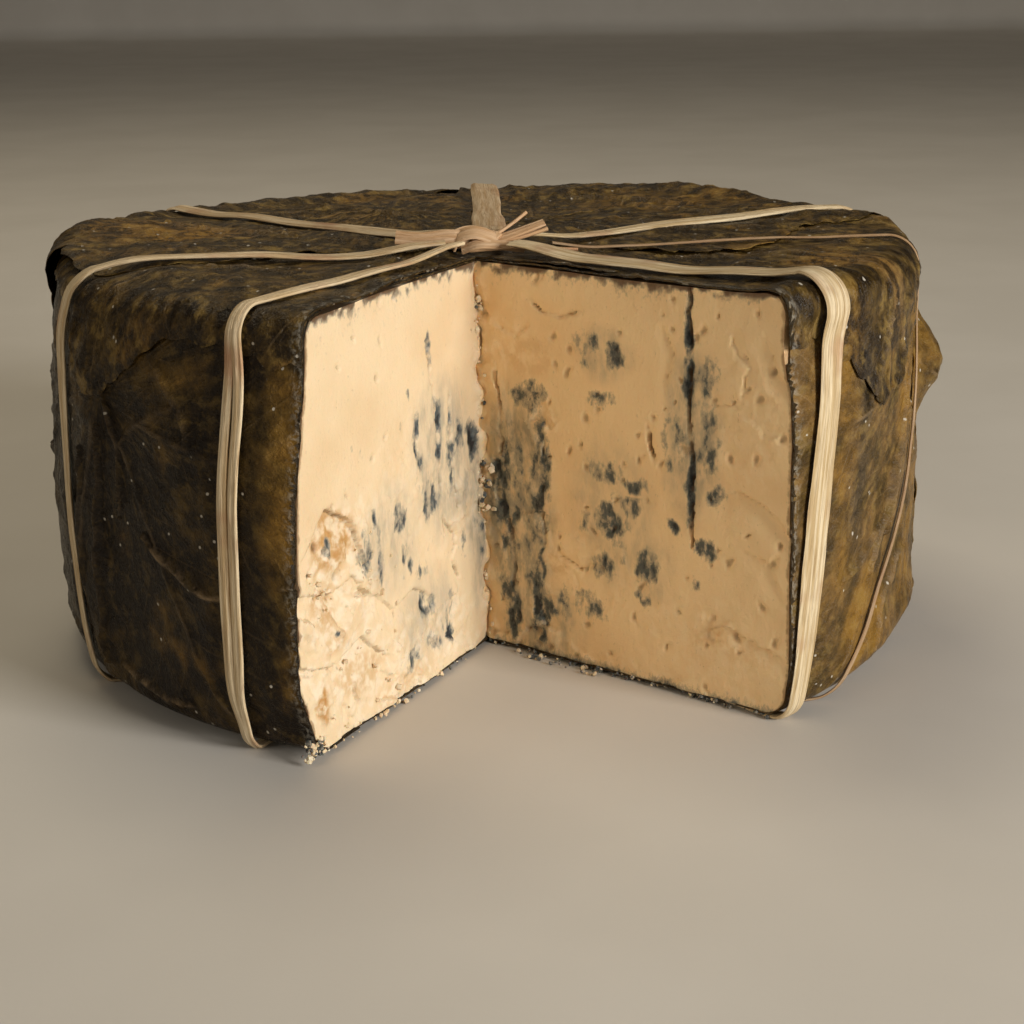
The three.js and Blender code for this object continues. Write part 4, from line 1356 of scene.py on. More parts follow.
@dataclass(frozen=True)
class LeafFinish:
    """A soaked, matured vine leaf, dark and half glossy, its veins paler than its skin."""

    name: str
    shade: float
    ochre: float
    shine: float
    contrast: float
    night: Triple = (0.0100, 0.0056, 0.0022)
    olive: Triple = (0.068, 0.040, 0.0090)
    tobacco: Triple = (0.185, 0.105, 0.034)
    amber: Triple = (0.235, 0.120, 0.018)
    gold: Triple = (0.34, 0.22, 0.062)
    grey: Triple = (0.115, 0.085, 0.052)
    vein: Triple = (0.34, 0.23, 0.12)
    dust: Triple = (0.34, 0.32, 0.27)

    def tone(self, n: Nodes, sheet: Socket, stain_and_shade: list[Socket]) -> Socket:
        """The leaf's ground, from near black through olive to tobacco, with ochre and grey stains on it."""
        lighter, yellower, greyer = stain_and_shade
        broad = n.noise(sheet, 22, 3)
        # The patches' tone comes in here, with the painted shade that some of them carry.
        tone = n.plus(n.times_plus(broad, 1.1, self.shade - 0.55), lighter)
        mottle = n.noise(sheet, 5.5, 4, 0.7)
        tone = n.times_plus(n.less(mottle, 0.5), 0.9, tone)
        colour = n.mix(n.step(tone, 0.0, 0.5), self.night, self.olive)
        colour = n.mix(n.step(tone, 0.42, 1.05), colour, self.tobacco)
        cloud = n.plus(n.times_plus(n.noise(sheet, 11, 3), 1.6, self.ochre - 1.15), yellower)
        colour = n.mix(n.times(n.step(cloud, 0.0, 1.0), 0.9), colour, self.amber)
        return n.mix(n.times(greyer, n.step(mottle, 0.35, 0.65)), colour, self.grey)

    def lines(self, n: Nodes, leaf: Socket, broken: Socket) -> list[Socket]:
        """How much vein there is, in the stalk's frame as in the mesh: five main veins, and ribs, broken up.

        The second value is noise in streaks that fan out from the stalk with the veins.
        """
        ahead, aside, drawn = n.parts(leaf)
        rho = n.math("SQRT", n.plus(n.times(ahead, ahead), n.times(aside, aside)))
        phi = n.math("ABSOLUTE", n.math("ARCTAN2", aside, ahead))
        delta = phi
        for tip in VineLeaf.LOBE_TIPS[1:]:
            delta = n.math("MINIMUM", delta, n.math("ABSOLUTE", n.less(phi, radians(tip))))
        along = n.times(rho, n.math("COSINE", delta))
        across = n.times(rho, n.math("SINE", delta))
        main = n.step(n.math("DIVIDE", across, n.times_plus(along, -0.006, 1.05)), 0.9, 0.25)
        beat = n.math("DIVIDE", n.times_plus(across, -VineLeaf.RIB_SLANT, along), VineLeaf.RIB_PITCH)
        ribs = n.step(n.math("PINGPONG", beat, 0.5), 0.05, 0.012)
        lines = n.math("MAXIMUM", n.times(main, 0.8), n.times(ribs, 0.4))
        fan = n.vector(n.times_plus(n.math("ARCTAN2", aside, ahead), 13, drawn), n.times(rho, 0.11), 0)
        return [n.times(lines, broken), n.noise(fan, 1, 4, 0.62)]

    def material(self) -> Material:
        """Reads the mesh's leaf (place on it), marks (crease paleness, partly own colour and partly painted
        highlight, and near the cut) and stain and shade (tone, ochre, grey).

        All noise is laid out on the leaf's own sheet.
        """
        n = Nodes(self.name, "2D")
        leaf = n.attribute("leaf")
        pale, cut, _ = n.parts(n.attribute("marks"))
        ahead, aside, drawn = n.parts(leaf)
        sheet = n.vector(n.times_plus(drawn, 31, ahead), n.times_plus(drawn, 17, aside), 0)
        colour = self.tone(n, sheet, n.parts(n.attribute("stain_and_shade")))
        patchy = n.noise(sheet, 3, 4, 0.66)
        lines, streaks = self.lines(n, leaf, n.step(n.noise(sheet, 9, 2), 0.36, 0.66))
        dark = n.times_plus(n.less(patchy, 0.5), 0.8, streaks)
        darker, lighter = 0.85 * self.contrast, (0.2 + 0.6 * self.shade) * self.contrast
        colour = n.mix(n.times(n.step(dark, 0.56, 0.32), darker), colour, self.night)
        colour = n.mix(n.times(n.step(dark, 0.52, 0.74), lighter), colour, self.gold)
        fleck = n.noise(sheet, 1.3, 3, 0.7)
        colour = n.mix(n.times(n.step(fleck, 0.55, 0.72), 0.06 + 0.12 * self.shade), colour, self.gold)
        net = n.step(n.cells(sheet, 3.4, "DISTANCE_TO_EDGE").outputs["Distance"], 0.05, 0.01)
        lines = n.math("MAXIMUM", lines, n.times(net, 0.14))
        colour = n.mix(n.times(lines, 0.16 + 0.34 * self.shade), colour, self.vein)
        # Paler along the creases: partly the folds' own colour, partly a painted highlight on their ridges.
        pale_and_highlit_crease = n.times(pale, n.step(patchy, 0.68, 0.34))
        colour = n.mix(n.times(pale_and_highlit_crease, 0.8), colour, self.vein)
        mouldy = n.times(n.step(cut, 0.5, 0.98), n.step(fleck, 0.44, 0.64))
        colour = n.mix(n.times(mouldy, 0.5), colour, self.dust)
        specks = n.cells(sheet, 2.8)
        often = n.times_plus(n.step(n.noise(sheet, 12, 2), 0.5, 0.68), 0.22, 0.02)
        bright = n.math("LESS_THAN", n.parts(specks.outputs["Color"])[0], often)
        dots = n.times(bright, n.step(specks.outputs["Distance"], 0.14, 0.07))
        colour = n.mix(n.times(dots, 0.75), colour, (0.60, 0.55, 0.46))
        wrinkle = n.noise(sheet, 2.6, 5, 0.66)
        height = n.times_plus(wrinkle, 2.2, n.times_plus(streaks, 1.3, n.times(lines, 0.6)))
        rough = n.times_plus(patchy, 0.28, 0.16)
        return n.finish(colour, rough, height, 0.38, Specular_IOR_Level=self.shine)


@dataclass(frozen=True)
class RaffiaFinish:
    """Dry raffia: pale straw in long fibres, rosy and ochre in places."""

    straw: Triple = (0.56, 0.40, 0.20)
    light: Triple = (0.80, 0.66, 0.43)
    rosy: Triple = (0.47, 0.26, 0.14)
    brown: Triple = (0.21, 0.115, 0.045)

    def material(self, name: str, darker: float = 0.0) -> Material:
        """Streaks run along the mesh's fibre value. Darker goes by way of rosy at 0.5 to brown."""
        n = Nodes(name)
        along, across, drawn = n.parts(n.attribute("fibre"))
        broad = n.noise(n.vector(n.times(along, 0.05), n.times(across, 1.3), drawn), 1, 3)
        fine = n.noise(n.vector(n.times(along, 0.10), n.times(across, 6.5), drawn), 1, 4, 0.6)
        colour = n.mix(n.step(broad, 0.36, 0.62), self.straw, self.light)
        colour = n.mix(n.step(n.noise(n.vector(along, across, drawn), 17, 3), 0.52, 0.72), colour, self.rosy)
        colour = n.mix(n.times(n.step(fine, 0.51, 0.66), 0.62), colour, self.brown)
        colour = n.mix(min(darker, 0.5), colour, self.rosy)
        colour = n.mix(max(darker - 0.5, 0.0), colour, self.brown)
        rough = n.times_plus(fine, 0.25, 0.42)
        return n.finish(colour, rough, fine, 0.28, Specular_IOR_Level=0.35)


def hand_over(piece: Piece, slot: str, material: Material, *nodes: str) -> None:
    """Dresses a piece, sets it on the cheese's one body, and says which solids it stands for."""
    piece.data.materials.clear()
    piece.data.materials.append(material)
    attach(piece, "root")
    if nodes:
        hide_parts(*nodes)
    log.info("%s: %d points, for %s", piece.name, len(piece.data.vertices), ", ".join(nodes) or "no solid")


@dataclass
class Paste:
    """The cheese itself, with the cut's two faces worked out in full."""

    wrap: Wrap
    sectors: int = 220
    rows: tuple[int, ...] = (18, 8, 22, 8, 10)

    def body(self) -> Shell:
        """The whole wheel under its leaves, on a grid of bearings and profile lengths."""
        stops = [0, WHEEL.top_end, WHEEL.side_start, WHEEL.side_end, WHEEL.base_start, WHEEL.profile_end]
        spans = [np.linspace(a, b, n + 1)[1:] for a, b, n in zip(stops, stops[1:], self.rows)]
        lengths = np.concatenate(spans)[:-1]
        theta, s = np.meshgrid(np.linspace(0, FULL_TURN, self.sectors, endpoint=False), lengths)
        rings = WHEEL.point(theta, s, self.wrap.heights(theta, s)[0])
        ends = np.array([0.0, WHEEL.profile_end])
        poles = WHEEL.point(ends * 0, ends, self.wrap.heights(ends * 0, ends)[0])
        return Shell.from_rings(rings, poles[:1], poles[1:])

    def depths(self, points: Array) -> tuple[Array, Array]:
        """How deep points lie under the paste's own outside: inwards from the side, and down from the top.

        Only points near the outside are worked out. The others count as 20 mm deep.
        """
        x, y, z = points.T
        theta, radius = np.arctan2(y, x), np.hypot(x, y)
        from_side, from_top = np.full(len(points), 20.0), np.full(len(points), 20.0)
        near = radius > WHEEL.radius - 14
        s = np.clip(WHEEL.length_at_height(z[near]), WHEEL.side_start, WHEEL.base_start)
        outside = WHEEL.point(theta[near], s, self.wrap.heights(theta[near], s)[0])
        from_side[near] = np.hypot(outside[:, 0], outside[:, 1]) - radius[near]
        high = z > WHEEL.top - 8
        s = np.minimum(radius[high], WHEEL.top_end)
        from_top[high] = WHEEL.point(theta[high], s, self.wrap.heights(theta[high], s)[0])[:, 2] - z[high]
        return from_side, from_top

    def tint(self, mesh: Mesh) -> None:
        """Stores what the finish needs, worked out anew from where each point lies on its face."""
        points = points_of(mesh)
        z = points[:, 2]
        from_side, from_top = self.depths(points)
        offset = points[:, :2] - CUT.edge(z)
        away = [np.abs(offset @ face.free) for face in (CUT.left, CUT.right)]
        tints, grounds = np.zeros((len(points), 3)), np.zeros((len(points), 3))
        # 1 on the right face, which the finish tints with painted shade.
        write_values(mesh, "shaded_face", (away[1] < away[0]).astype(float))
        for face, chosen in ((CUT.left, away[0] < away[1]), (CUT.right, away[0] >= away[1])):
            a, h = (offset @ face.out)[chosen], z[chosen]
            wandered = face.wander(a, h)
            place = face.space(a, h, 0)
            scraps, dust = Lumps(9).layered(place, 1.4, 3), Lumps(10).layered(place, 2.4, 2)
            fade = 1.1 + 0.9 * Lumps(8).at(face.space(a, 0 * h, 0), 3)
            edge = (0.9 + 0.9 * scraps) * np.exp(-from_top[chosen] / fade)
            foot = (0.5 + 0.3 * dust) * (1 - smooth(h / 4)) * face.foot_mould
            mould = np.maximum(face.mould_at(a, h), np.maximum(0.8 * edge, foot * 1.5))
            deep, step = face.tears_at(a, h)
            # Painted shade in the tears and flaws and below their steps, together with the darker band along
            # the top edge.
            crack_shade_and_top_edge = np.maximum(deep + 0.3 * step, 1.1 * edge)
            tints[chosen] = np.stack([mould, crack_shade_and_top_edge, face.total(face.smears, *wandered)], axis=-1)
            grounds[chosen, 0] = face.total(face.ochre, *wandered)
            grounds[chosen, 2] = face.crumbliness(a, h)
        grounds[:, 1] = 1 - smooth(from_side / 1.6)
        write_values(mesh, "tints", tints)
        write_values(mesh, "grounds", grounds)

    def build(self) -> None:
        """Makes the paste, cuts the wedge out of it, and dresses it."""
        piece = self.body().as_object("blue_cheese")
        cutter = CUT.fine_cutter()
        carve(piece, cutter)
        bpy.data.objects.remove(cutter)
        self.tint(piece.data)
        hand_over(piece, "paste", PasteFinish().material(), "cheese_paste")


@dataclass
class LeafWrap:
    """All the vine leaves, each cut back to the wheel's cut."""

    wrap: Wrap

    def build(self) -> None:
        """Makes each leaf, trims it at the cut, and dresses it."""
        cutter = CUT.plain_cutter()
        for index, leaf in enumerate(LEAVES):
            shell, values = self.wrap.leaf_shell(index)
            piece = shell.as_object(leaf.name.replace("leaf", "vine_leaf"), values)
            carve(piece, cutter)
            look = (0.16, 1.0) if leaf.laid is Laid.TOP else (0.15, 0.45)
            finish = LeafFinish(leaf.name + "_finish", leaf.shade, leaf.ochre, *look)
            hand_over(piece, "vine_leaf", finish.material(), leaf.name)
        bpy.data.objects.remove(cutter)


@dataclass(frozen=True)
class Ribbon:
    """A flat fibrous ribbon carried along a path."""

    width: float
    thickness: float
    seed: int
    folds: int = 3
    around: int = 26
    tip: float = 1.0
    lowest: float = 0.02

    def shell(self, path: Array, across: Array, normal: Array, wide: Array | None = None) -> Part:
        """Carries the section along the path.

        The section is a flat oval, its half-thickness the square root of one minus the fourth power of the
        place across, with ridges that wander along the length where the ribbon is folded.

        Args:
            path: places of the middle of the underside.
            across: unit vectors across the ribbon.
            normal: unit vectors out of its face.
            wide: the share of its width that it has at each place, if not all.

        Returns:
            The closed surface, and its values for the finish.
        """
        turn = np.linspace(0, FULL_TURN, self.around, endpoint=False)[None, :]
        u = np.sign(np.cos(turn)) * np.abs(np.cos(turn)) ** 0.8
        above = np.sign(np.sin(turn)) * (1 - u**4) ** 0.5
        steps = np.hypot(*(np.diff(path, axis=0)[:, :2].T)) + np.abs(np.diff(path[:, 2]))
        length = np.concatenate([[0], np.cumsum(steps)])[:, None]
        line = at_level(length, 0 * length, self.seed)
        lumps = Lumps(self.seed)
        half = self.width / 2 * (1 + 0.12 * lumps.at(line, 24) + 0.05 * lumps.at(line, 7))
        half = half if wide is None else half * wide[:, None]
        half = half * (1 - (1 - self.tip) * smooth((length / length[-1] - 0.45) / 0.55))
        drift = 0.35 * lumps.at(line + 31, 35)
        ridges = np.cos(u * pi * self.folds + 3 * lumps.at(line + 55, 34)) * (above > 0)
        ridges = ridges * (0.65 + 0.6 * lumps.at(line + 70, 16))
        strands = 0.35 * np.cos(u * pi * 9 + 4 * lumps.at(line + 80, 30)) * (above > 0)
        thin = self.thickness * (1 + 0.2 * lumps.at(line + 12, 15))
        height = thin * (0.5 + 0.5 * above + 0.15 * ridges + 0.07 * strands)
        twist = 0.12 * lumps.at(line + 99, 30) * u * half
        sideways = (u * half + drift)[..., None] * across[:, None, :]
        rings = path[:, None, :] + sideways + (height + twist)[..., None] * normal[:, None, :]
        rings = rings[:, ::-1]
        rings[..., 2] = np.maximum(rings[..., 2], self.lowest)
        shell = Shell.from_rings(rings, rings[0].mean(axis=0), rings[-1].mean(axis=0))
        fibre = at_level(*np.broadcast_arrays(length, (u * half)[:, ::-1]), self.seed * 1.7).reshape(-1, 3)
        return shell, {"fibre": np.vstack([fibre[:1], fibre, fibre[-1:]])}


@dataclass(frozen=True)
class Loop:
    """One length of raffia in the knot: points in millimetres from the knot's middle, and its size."""

    points: tuple[Triple, ...]
    width: float
    thickness: float = 0.8
    roll: float = 0.0
    tip: float = 1.0

    def path(self, count: int = 70) -> Array:
        """A smooth curve through the points: a Catmull-Rom spline, worked out for all its points at once."""
        p = np.array(self.points, float)
        p = np.vstack([2 * p[0] - p[1], p, 2 * p[-1] - p[-2]])
        t = np.linspace(0, len(p) - 3 - 1e-6, count)
        i = t.astype(int)
        f = (t - i)[:, None]
        a, b, c, d = p[i], p[i + 1], p[i + 2], p[i + 3]
        square, cube = 2 * a - 5 * b + 4 * c - d, 3 * b - a - 3 * c + d
        return 0.5 * (2 * b + (c - a) * f + square * f**2 + cube * f**3)


KNOT_LOOPS = (
    Loop(((-7.5, 2.0, 0.8), (-4.6, 3.3, 2.8), (-1.0, 3.8, 3.2), (3.2, 3.4, 1.4)), 2.5),
    Loop(((3.0, 3.6, 1.0), (3.4, 1.0, 2.8), (2.4, -1.6, 2.3), (1.4, -3.4, 0.6)), 2.2, roll=-0.2),
    Loop(((-4.0, 2.4, 1.2), (-3.4, 0.4, 3.2), (-1.6, -1.5, 3.4), (0.6, -3.2, 1.0)), 2.4, roll=0.2),
    Loop(
        ((-5.2, -1.5, 0.8), (-4.2, -2.4, 2.7), (-1.0, -2.9, 3.6), (2.4, -2.3, 2.4), (3.6, -0.7, 0.8)),
        3.4, roll=0.2),
    Loop(((-6.2, -0.6, 1.0), (-5.8, -1.9, 2.1), (-4.8, -2.3, 2.3), (-4.2, -1.8, 1.2)), 1.4, roll=0.3),
    Loop(((-3.5, -3.0, 0.4), (0.0, -3.8, 1.5), (4.0, -3.2, 1.2), (9.0, -2.6, 0.5)), 2.2),
    Loop(
        ((-1.0, -1.6, 2.2), (-6.0, -2.2, 2.9), (-11.5, -2.2, 2.5), (-17.2, -1.6, 2.9)),
        3.1, roll=-0.7, tip=0.9),
    Loop(((2.4, 0.4, 2.2), (4.6, 1.2, 3.4), (7.0, 2.0, 4.9), (9.9, 3.0, 7.0)), 1.2, tip=0.5),
    Loop(((2.0, 0.0, 1.6), (7.0, 1.0, 2.9), (13.3, 2.5, 4.8)), 2.2, roll=0.6),
    Loop(((2.0, -0.5, 1.3), (8.0, 0.6, 2.0), (14.0, 2.0, 3.5)), 1.8),
    Loop(((-2.0, -3.0, 0.6), (6.0, -3.4, 1.1), (14.0, -3.6, 0.7), (20.0, -3.6, 0.5)), 1.4, tip=0.5),
)


@dataclass
class RaffiaTie:
    """The strands, the knot on top and the crossing underneath."""

    wrap: Wrap
    lift: float = 0.1
    knot_rise: float = 1.7
    samples: tuple[int, int, int] = (110, 190, 90)

    def line(self, strand: Strand) -> tuple[Array, Array]:
        """Bearings and lengths of a strand's middle: straight over the top, down the side, straight in."""
        hub, rim = np.array(strand.hub), along_bearing(strand.top) * WHEEL.top_end
        start = strand.start / np.hypot(*(rim - hub))
        over = hub + np.linspace(start, 1, self.samples[0])[:, None] * (rim - hub)
        down = np.linspace(WHEEL.top_end, WHEEL.base_start, self.samples[1] + 2)[1:-1]
        middle = np.array(CROSSING_PLACE)
        foot = along_bearing(strand.base) * (WHEEL.profile_end - WHEEL.base_start)
        inner = strand.tuck / np.hypot(*(foot - middle))
        under = middle + np.linspace(1, inner, self.samples[2])[:, None] * (foot - middle)
        ends = [np.arctan2(y, x) for x, y in (over.T, under.T)]
        lengths = [np.hypot(*over.T), down, WHEEL.profile_end - np.hypot(*under.T)]
        return np.concatenate([ends[0], strand.bearing_at(down), ends[1]]), np.concatenate(lengths)

    def taut(self, theta: Array, s: Array, half: float) -> Array:
        """Height of a strand under tension: the highest of the wrap near each place, then evened out."""
        turn = half / np.maximum(WHEEL.radius / 5, WHEEL.profile(s)[0])
        sides = [self.wrap.top_height(theta + side * turn, s) for side in (-1, 0, 1)]
        high = np.max(sides, axis=0)
        reach = 6
        windows = np.lib.stride_tricks.sliding_window_view(np.pad(high, reach, mode="edge"), 2 * reach + 1)
        return np.pad(windows.max(axis=1), reach, mode="edge") @ self.evening(len(s), reach)

    @staticmethod
    def evening(count: int, reach: int) -> Array:
        """A matrix that takes the mean of each window of a padded row."""
        rows, columns = np.indices((count + 2 * reach, count))
        return (np.abs(rows - columns - reach) <= reach) / (2 * reach + 1)

    def strand_piece(self, strand: Strand, material: Material) -> None:
        """Makes one strand, as two ribbons down the side where it is split."""
        theta, s = self.line(strand)
        free = self.taut(theta, s, strand.width / 2 + strand.split / 2)
        base = WHEEL.point(theta, s, 0 * s)
        from_knot = np.hypot(base[:, 0] - KNOT_PLACE[0], base[:, 1] - KNOT_PLACE[1])
        rise = np.where(s < WHEEL.top_end, self.knot_rise * (1 - smooth((from_knot - 9) / 16)), 0)
        on_base = smooth((s - WHEEL.side_end - 4) / (WHEEL.base_start - WHEEL.side_end - 4))
        height = (free + rise) * (1 - on_base) + self.lift
        path = WHEEL.point(theta, s, height)
        path[:, 2] = np.maximum(path[:, 2], strand.thickness + 0.05)
        normal = WHEEL.normal(theta, s)
        ahead = np.gradient(path, axis=0)
        across = unit(np.cross(ahead, normal))
        opened = smooth((s - WHEEL.top_end + 2) / 24) * (1 - smooth((s - WHEEL.side_end + 16) / 22))
        narrow = (1 - strand.foot) * smooth((s - WHEEL.side_end + 30) / 36)
        wide = (0.7 + 0.3 * smooth((from_knot - 6) / 20)) * (1 - narrow)
        parts = []
        sides, folds = ((-1, 1), 2) if strand.split else ((0,), 3)
        for side in sides:
            apart = side * strand.split * (0.1 + 0.37 * opened)
            ribbon = Ribbon(strand.width, strand.thickness, strand.seed + side, folds)
            moved = path + apart[:, None] * across
            parts.append(ribbon.shell(moved, across, normal, wide))
        piece = joined(strand.name.replace("raffia", "raffia_strand"), parts)
        hand_over(piece, "raffia", material, strand.name)

    def knot_piece(self, material: Material) -> None:
        """Makes the knot: lengths of raffia round and over each other, and the free ends."""
        place = np.array(KNOT_PLACE)
        theta, s = np.array([atan2(place[1], place[0])]), np.array([np.hypot(*place)])
        floor = WHEEL.point(theta, s, self.wrap.top_height(theta, s))[0]
        parts = []
        for number, loop in enumerate(KNOT_LOOPS):
            path = floor + loop.path()
            ahead = unit(np.gradient(path, axis=0))
            out = (path - floor) * np.array([0.35, 1.0, 1.0]) + np.array([0, 0, 1.6])
            lean = unit(out - (out * ahead).sum(axis=1)[:, None] * ahead)
            across = np.cross(ahead, lean)
            normal = lean * cos(loop.roll) + across * sin(loop.roll)
            across = np.cross(ahead, normal)
            ribbon = Ribbon(loop.width, loop.thickness, 600 + number * 3, folds=2, tip=loop.tip)
            parts.append(ribbon.shell(path, across, normal))
        hand_over(joined("raffia_knot_loops", parts), "raffia", material, "raffia_knot")

    def crossing_piece(self, material: Material) -> None:
        """Makes the crossing underneath: short flat lengths laid over each other, flat on z = 0."""
        parts = []
        for number, bearing in enumerate((10, 55, 100, 145)):
            way = np.append(along_bearing(bearing), 0)
            share = np.linspace(-1, 1, 60)[:, None]
            low = 0.87 - 0.12 * number
            path = np.array([*CROSSING_PLACE, low]) + share * (CROSSING_RADIUS - 0.5) * way
            normal = np.tile([0.0, 0.0, -1.0], (60, 1))
            across = np.cross(np.tile(way, (60, 1)), normal)
            parts.append(Ribbon(5.4, low - 0.02, 700 + number * 3).shell(path, across, normal))
        hand_over(joined("raffia_crossing_lengths", parts), "raffia", material, "raffia_crossing")

    def build(self) -> None:
        """Makes every strand, the knot and the crossing."""
        for strand in STRANDS:
            self.strand_piece(strand, RaffiaFinish().material(strand.name + "_finish", strand.shade))
        self.knot_piece(RaffiaFinish(rosy=(0.56, 0.27, 0.125)).material("raffia_knot_finish", 0.5))
        self.crossing_piece(RaffiaFinish().material("raffia_crossing_finish", 0.1))


def joined(name: str, parts: list[Part]) -> Piece:
    """Several closed surfaces and their values as one object."""
    shells = [shell for shell, _ in parts]
    starts = np.cumsum([0] + [len(shell.points) for shell in shells])
    points = np.vstack([shell.points for shell in shells])
    quads = np.vstack([shell.quads + start for shell, start in zip(shells, starts)])
    fans = np.vstack([shell.fans + start for shell, start in zip(shells, starts)])
    values = {key: np.vstack([value[key] for _, value in parts]) for key in parts[0][1]}
    return Shell(points, quads, fans).as_object(name, values)


@dataclass(frozen=True)
class Spill:
    """Crumbs of one kind: how many, half their size, how many in a hundred are mouldy, and where they lie.

    They lie beside one face or both, between two distances along it and two heights. Those with a pull
    lie thicker towards the lower end.
    """

    count: int
    size: float
    mouldy: int
    faces: tuple[CutFace, ...]
    along: tuple[float, float]
    z: tuple[float, float]
    off: tuple[float, float] = (-0.3, 0.4)
    pull: float = 1.0


SPILLS = (
    Spill(60, 0.5, 6, (LEFT_FACE, RIGHT_FACE), (0.0, 1.4), (2.0, 80.0)),
    Spill(34, 0.65, 22, (LEFT_FACE, RIGHT_FACE), (0.0, 3.0), (31.0, 43.0), (-0.2, 1.2)),
    Spill(36, 0.42, 20, (LEFT_FACE,), (4.0, 68.0), (0.4, 1.2), (-0.4, 0.8)),
    Spill(130, 0.42, 75, (RIGHT_FACE,), (0.0, 70.0), (0.3, 1.2), (-1.0, 0.3)),
    Spill(34, 0.4, 75, (RIGHT_FACE,), (8.0, 30.0), (0.3, 0.6), (0.4, 2.8)),
    Spill(60, 0.45, 4, (LEFT_FACE,), (36.0, 68.0), (2.0, 40.0), (-0.3, 0.25), 1.4),
    Spill(36, 0.6, 60, (LEFT_FACE,), (66.0, 73.0), (0.8, 5.0), (-0.6, 0.8)),
)


@dataclass
class Crumbs:
    """Loose crumbs of paste on the inner edge, along the foot of the cut and on its crumbly parts."""

    seed: int = 909
    around: int = 8
    rings: int = 3
    lowest: float = 0.03

    def places(self) -> tuple[Array, Array, Array]:
        """Middles, half-sizes and mouldiness of all the crumbs."""
        draw = np.random.default_rng(self.seed)
        middles, sizes, mouldy = [], [], []
        for spill in SPILLS:
            t = draw.random((spill.count, 4))
            along = spill.along[0] + np.ptp(spill.along) * t[:, 0]
            z = spill.z[0] + np.ptp(spill.z) * t[:, 1] ** spill.pull
            off = spill.off[0] + np.ptp(spill.off) * t[:, 2]
            flat = CUT.edge(z)
            for number, face in enumerate(spill.faces):
                here = (t[:, 3] * len(spill.faces)).astype(int) == number
                out, free = np.where(here, along, 0)[:, None], np.where(here, off, 0)[:, None]
                flat = flat + out * face.out + free * face.free
            middles.append(np.column_stack([flat, z]))
            sizes.append(spill.size * (0.35 + 0.9 * draw.random(spill.count) ** 2))
            mouldy.append((draw.random(spill.count) * 100 < spill.mouldy).astype(float))
        return np.vstack(middles), np.concatenate(sizes), np.concatenate(mouldy)

    def blocks(self) -> tuple[Array, Array, Array]:
        """The directions of a crumb's points, pushed out towards the corners of a cube."""
        latitude = np.linspace(0, pi, self.rings + 2)[1:-1][:, None]
        turn = np.linspace(0, FULL_TURN, self.around, endpoint=False)[None, :]
        parts = (np.sin(latitude) * np.cos(turn), np.sin(latitude) * np.sin(turn), np.cos(latitude))
        unit = np.stack(np.broadcast_arrays(*parts), axis=-1)
        pole = np.array([0, 0, 1.0])
        return unit / np.max(np.abs(unit), axis=-1, keepdims=True) ** 0.7, pole, -pole

    def build(self, material: Material) -> None:
        """Makes every crumb as a lumpy closed block, turned at random, in one mesh."""
        draw = np.random.default_rng(self.seed + 1)
        rings, first, last = self.blocks()
        parts = []
        for middle, size, dark in zip(*self.places()):
            turned = np.linalg.qr(draw.normal(size=(3, 3)))[0]
            turned = turned * np.sign(np.linalg.det(turned)) * draw.uniform(0.6, 1.3, 3)[:, None] * size
            lumpy = 1 + 0.3 * Lumps(3).at(rings + draw.uniform(0, 20, 3), 0.8)[..., None]
            placed = [middle + part @ turned for part in (rings * lumpy, first, last)]
            for part in placed:
                part[..., 2] = np.maximum(part[..., 2], self.lowest)
            shell = Shell.from_rings(*placed)
            tints = np.tile([0.6 * dark, 0.0, 0.6 * dark], (len(shell.points), 1))
            grounds = np.tile([0.2 * draw.random(), 0.0, 1.0], (len(shell.points), 1))
            parts.append((shell, {"tints": tints, "grounds": grounds}))
        hand_over(joined("loose_crumbs", parts), "paste", material)


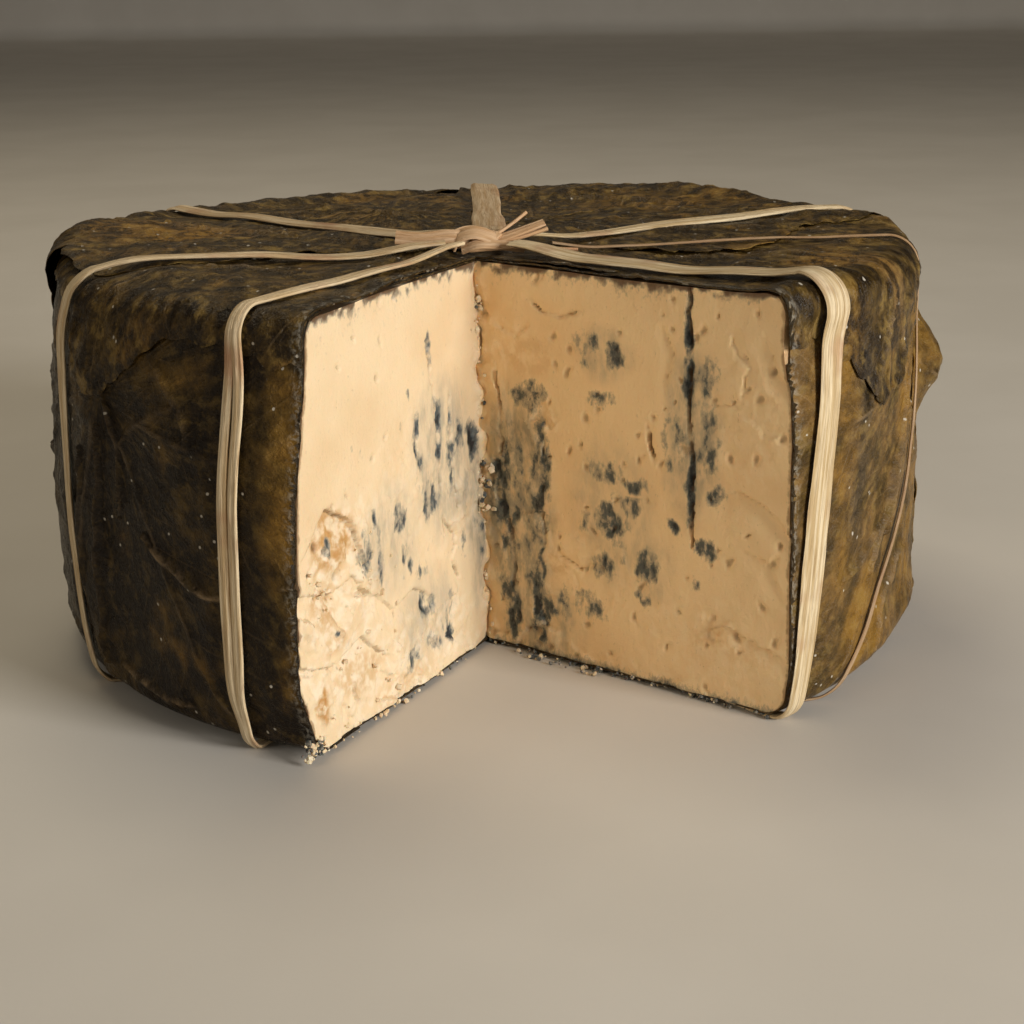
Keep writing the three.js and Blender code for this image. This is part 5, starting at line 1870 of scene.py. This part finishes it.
@dataclass
class Studio:
    """The floor, the lights and the camera, which stands where the photograph's did."""

    eye: Triple = (6.74, -397.74, 147.65)
    yaw: float = -0.21
    pitch: float = 17.6
    roll: float = -0.71
    focal_pixels: float = 1811.1
    picture: float = 1024
    sensor: float = 36

    def camera(self) -> None:
        """Makes the camera from its bearing, its tilt down and its roll."""
        yaw, pitch, roll = (radians(v) for v in (self.yaw, self.pitch, self.roll))
        ahead = np.array([
            sin(yaw) * cos(pitch), cos(yaw) * cos(pitch), -sin(pitch)])
        level = np.array([cos(yaw), -sin(yaw), 0])
        upright = np.cross(level, ahead)
        right = cos(roll) * level + sin(roll) * upright
        up = cos(roll) * upright - sin(roll) * level
        data = bpy.data.cameras.new("camera")
        data.sensor_width = self.sensor
        data.lens = self.focal_pixels * self.sensor / self.picture
        data.clip_start, data.clip_end = 0.01, 20
        eye = linked("camera", data)
        stand(eye, np.array(self.eye) * MILLIMETRE, right, up, -ahead)
        bpy.context.scene.camera = eye

    def light(self, name: str, place: Triple, size: float, power: float, tint: Triple) -> None:
        """A soft square lamp that faces the cheese."""
        data = bpy.data.lights.new(name, "AREA")
        data.size = size
        data.energy = power
        data.color = tint
        aim = unit(np.array([0, 0, 0.04]) - np.array(place))
        side = unit(np.cross(aim, [0, 0, 1]))
        stand(linked(name, data), place, side, np.cross(side, aim), -aim)

    def floor(self) -> None:
        """A broad pale floor that curves up a little far behind, on a grid."""
        u = np.linspace(0, 1, 40)[:, None]
        v = np.linspace(-1, 1, 30)[None, :]
        depth = -1.5 + 3.9 * np.minimum(u / 0.7, 1)
        arc = smooth((u - 0.6) / 0.4)
        points = np.stack(np.broadcast_arrays(2.6 * v, depth, 0.4 * arc**2), axis=-1).reshape(-1, 3)
        start = (np.arange(39)[:, None] * 30 + np.arange(29)).ravel()
        quads = np.stack([start, start + 1, start + 31, start + 30], axis=-1)
        mesh = bpy.data.meshes.new("floor")
        mesh.from_pydata(points.tolist(), [], quads.tolist())
        mesh.shade_smooth()
        n = Nodes("floor_finish")
        colour = n.mix(n.step(n.noise(n.place(), 90, 3), 0.3, 0.7), (0.61, 0.575, 0.52), (0.65, 0.615, 0.56))
        mesh.materials.append(n.finish(colour, 0.7, n.noise(n.place(), 1.2, 2), 0.02))
        linked("floor", mesh)

    def build(self) -> None:
        """Makes the whole studio."""
        self.camera()
        self.floor()
        self.light("key", (0.92, -0.72, 0.36), 0.4, 15, (1.0, 0.97, 0.93))
        self.light("fill", (-0.9, -0.75, 0.45), 0.6, 2.0, (1.0, 0.92, 0.80))
        self.light("back", (-0.25, 0.5, 1.1), 0.6, 4.2, (1.0, 0.87, 0.64))
        world = bpy.data.worlds.new("studio")
        world.use_nodes = True
        background = world.node_tree.nodes["Background"]
        background.inputs["Color"].default_value = (1.0, 0.88, 0.70, 1)
        background.inputs["Strength"].default_value = 0.09
        bpy.context.scene.world = world
        bpy.context.scene.view_settings.view_transform = "Standard"


def main() -> None:
    """Builds the studio and the cheese, one sub-assembly after the other."""
    logging.basicConfig(level=logging.INFO, format="%(name)s: %(message)s")
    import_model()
    Studio().build()
    wrap = Wrap()
    Paste(wrap).build()
    LeafWrap(wrap).build()
    RaffiaTie(wrap).build()
    Crumbs().build(bpy.data.materials["paste_finish"])
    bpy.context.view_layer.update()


if __name__ == "__main__":
    main()
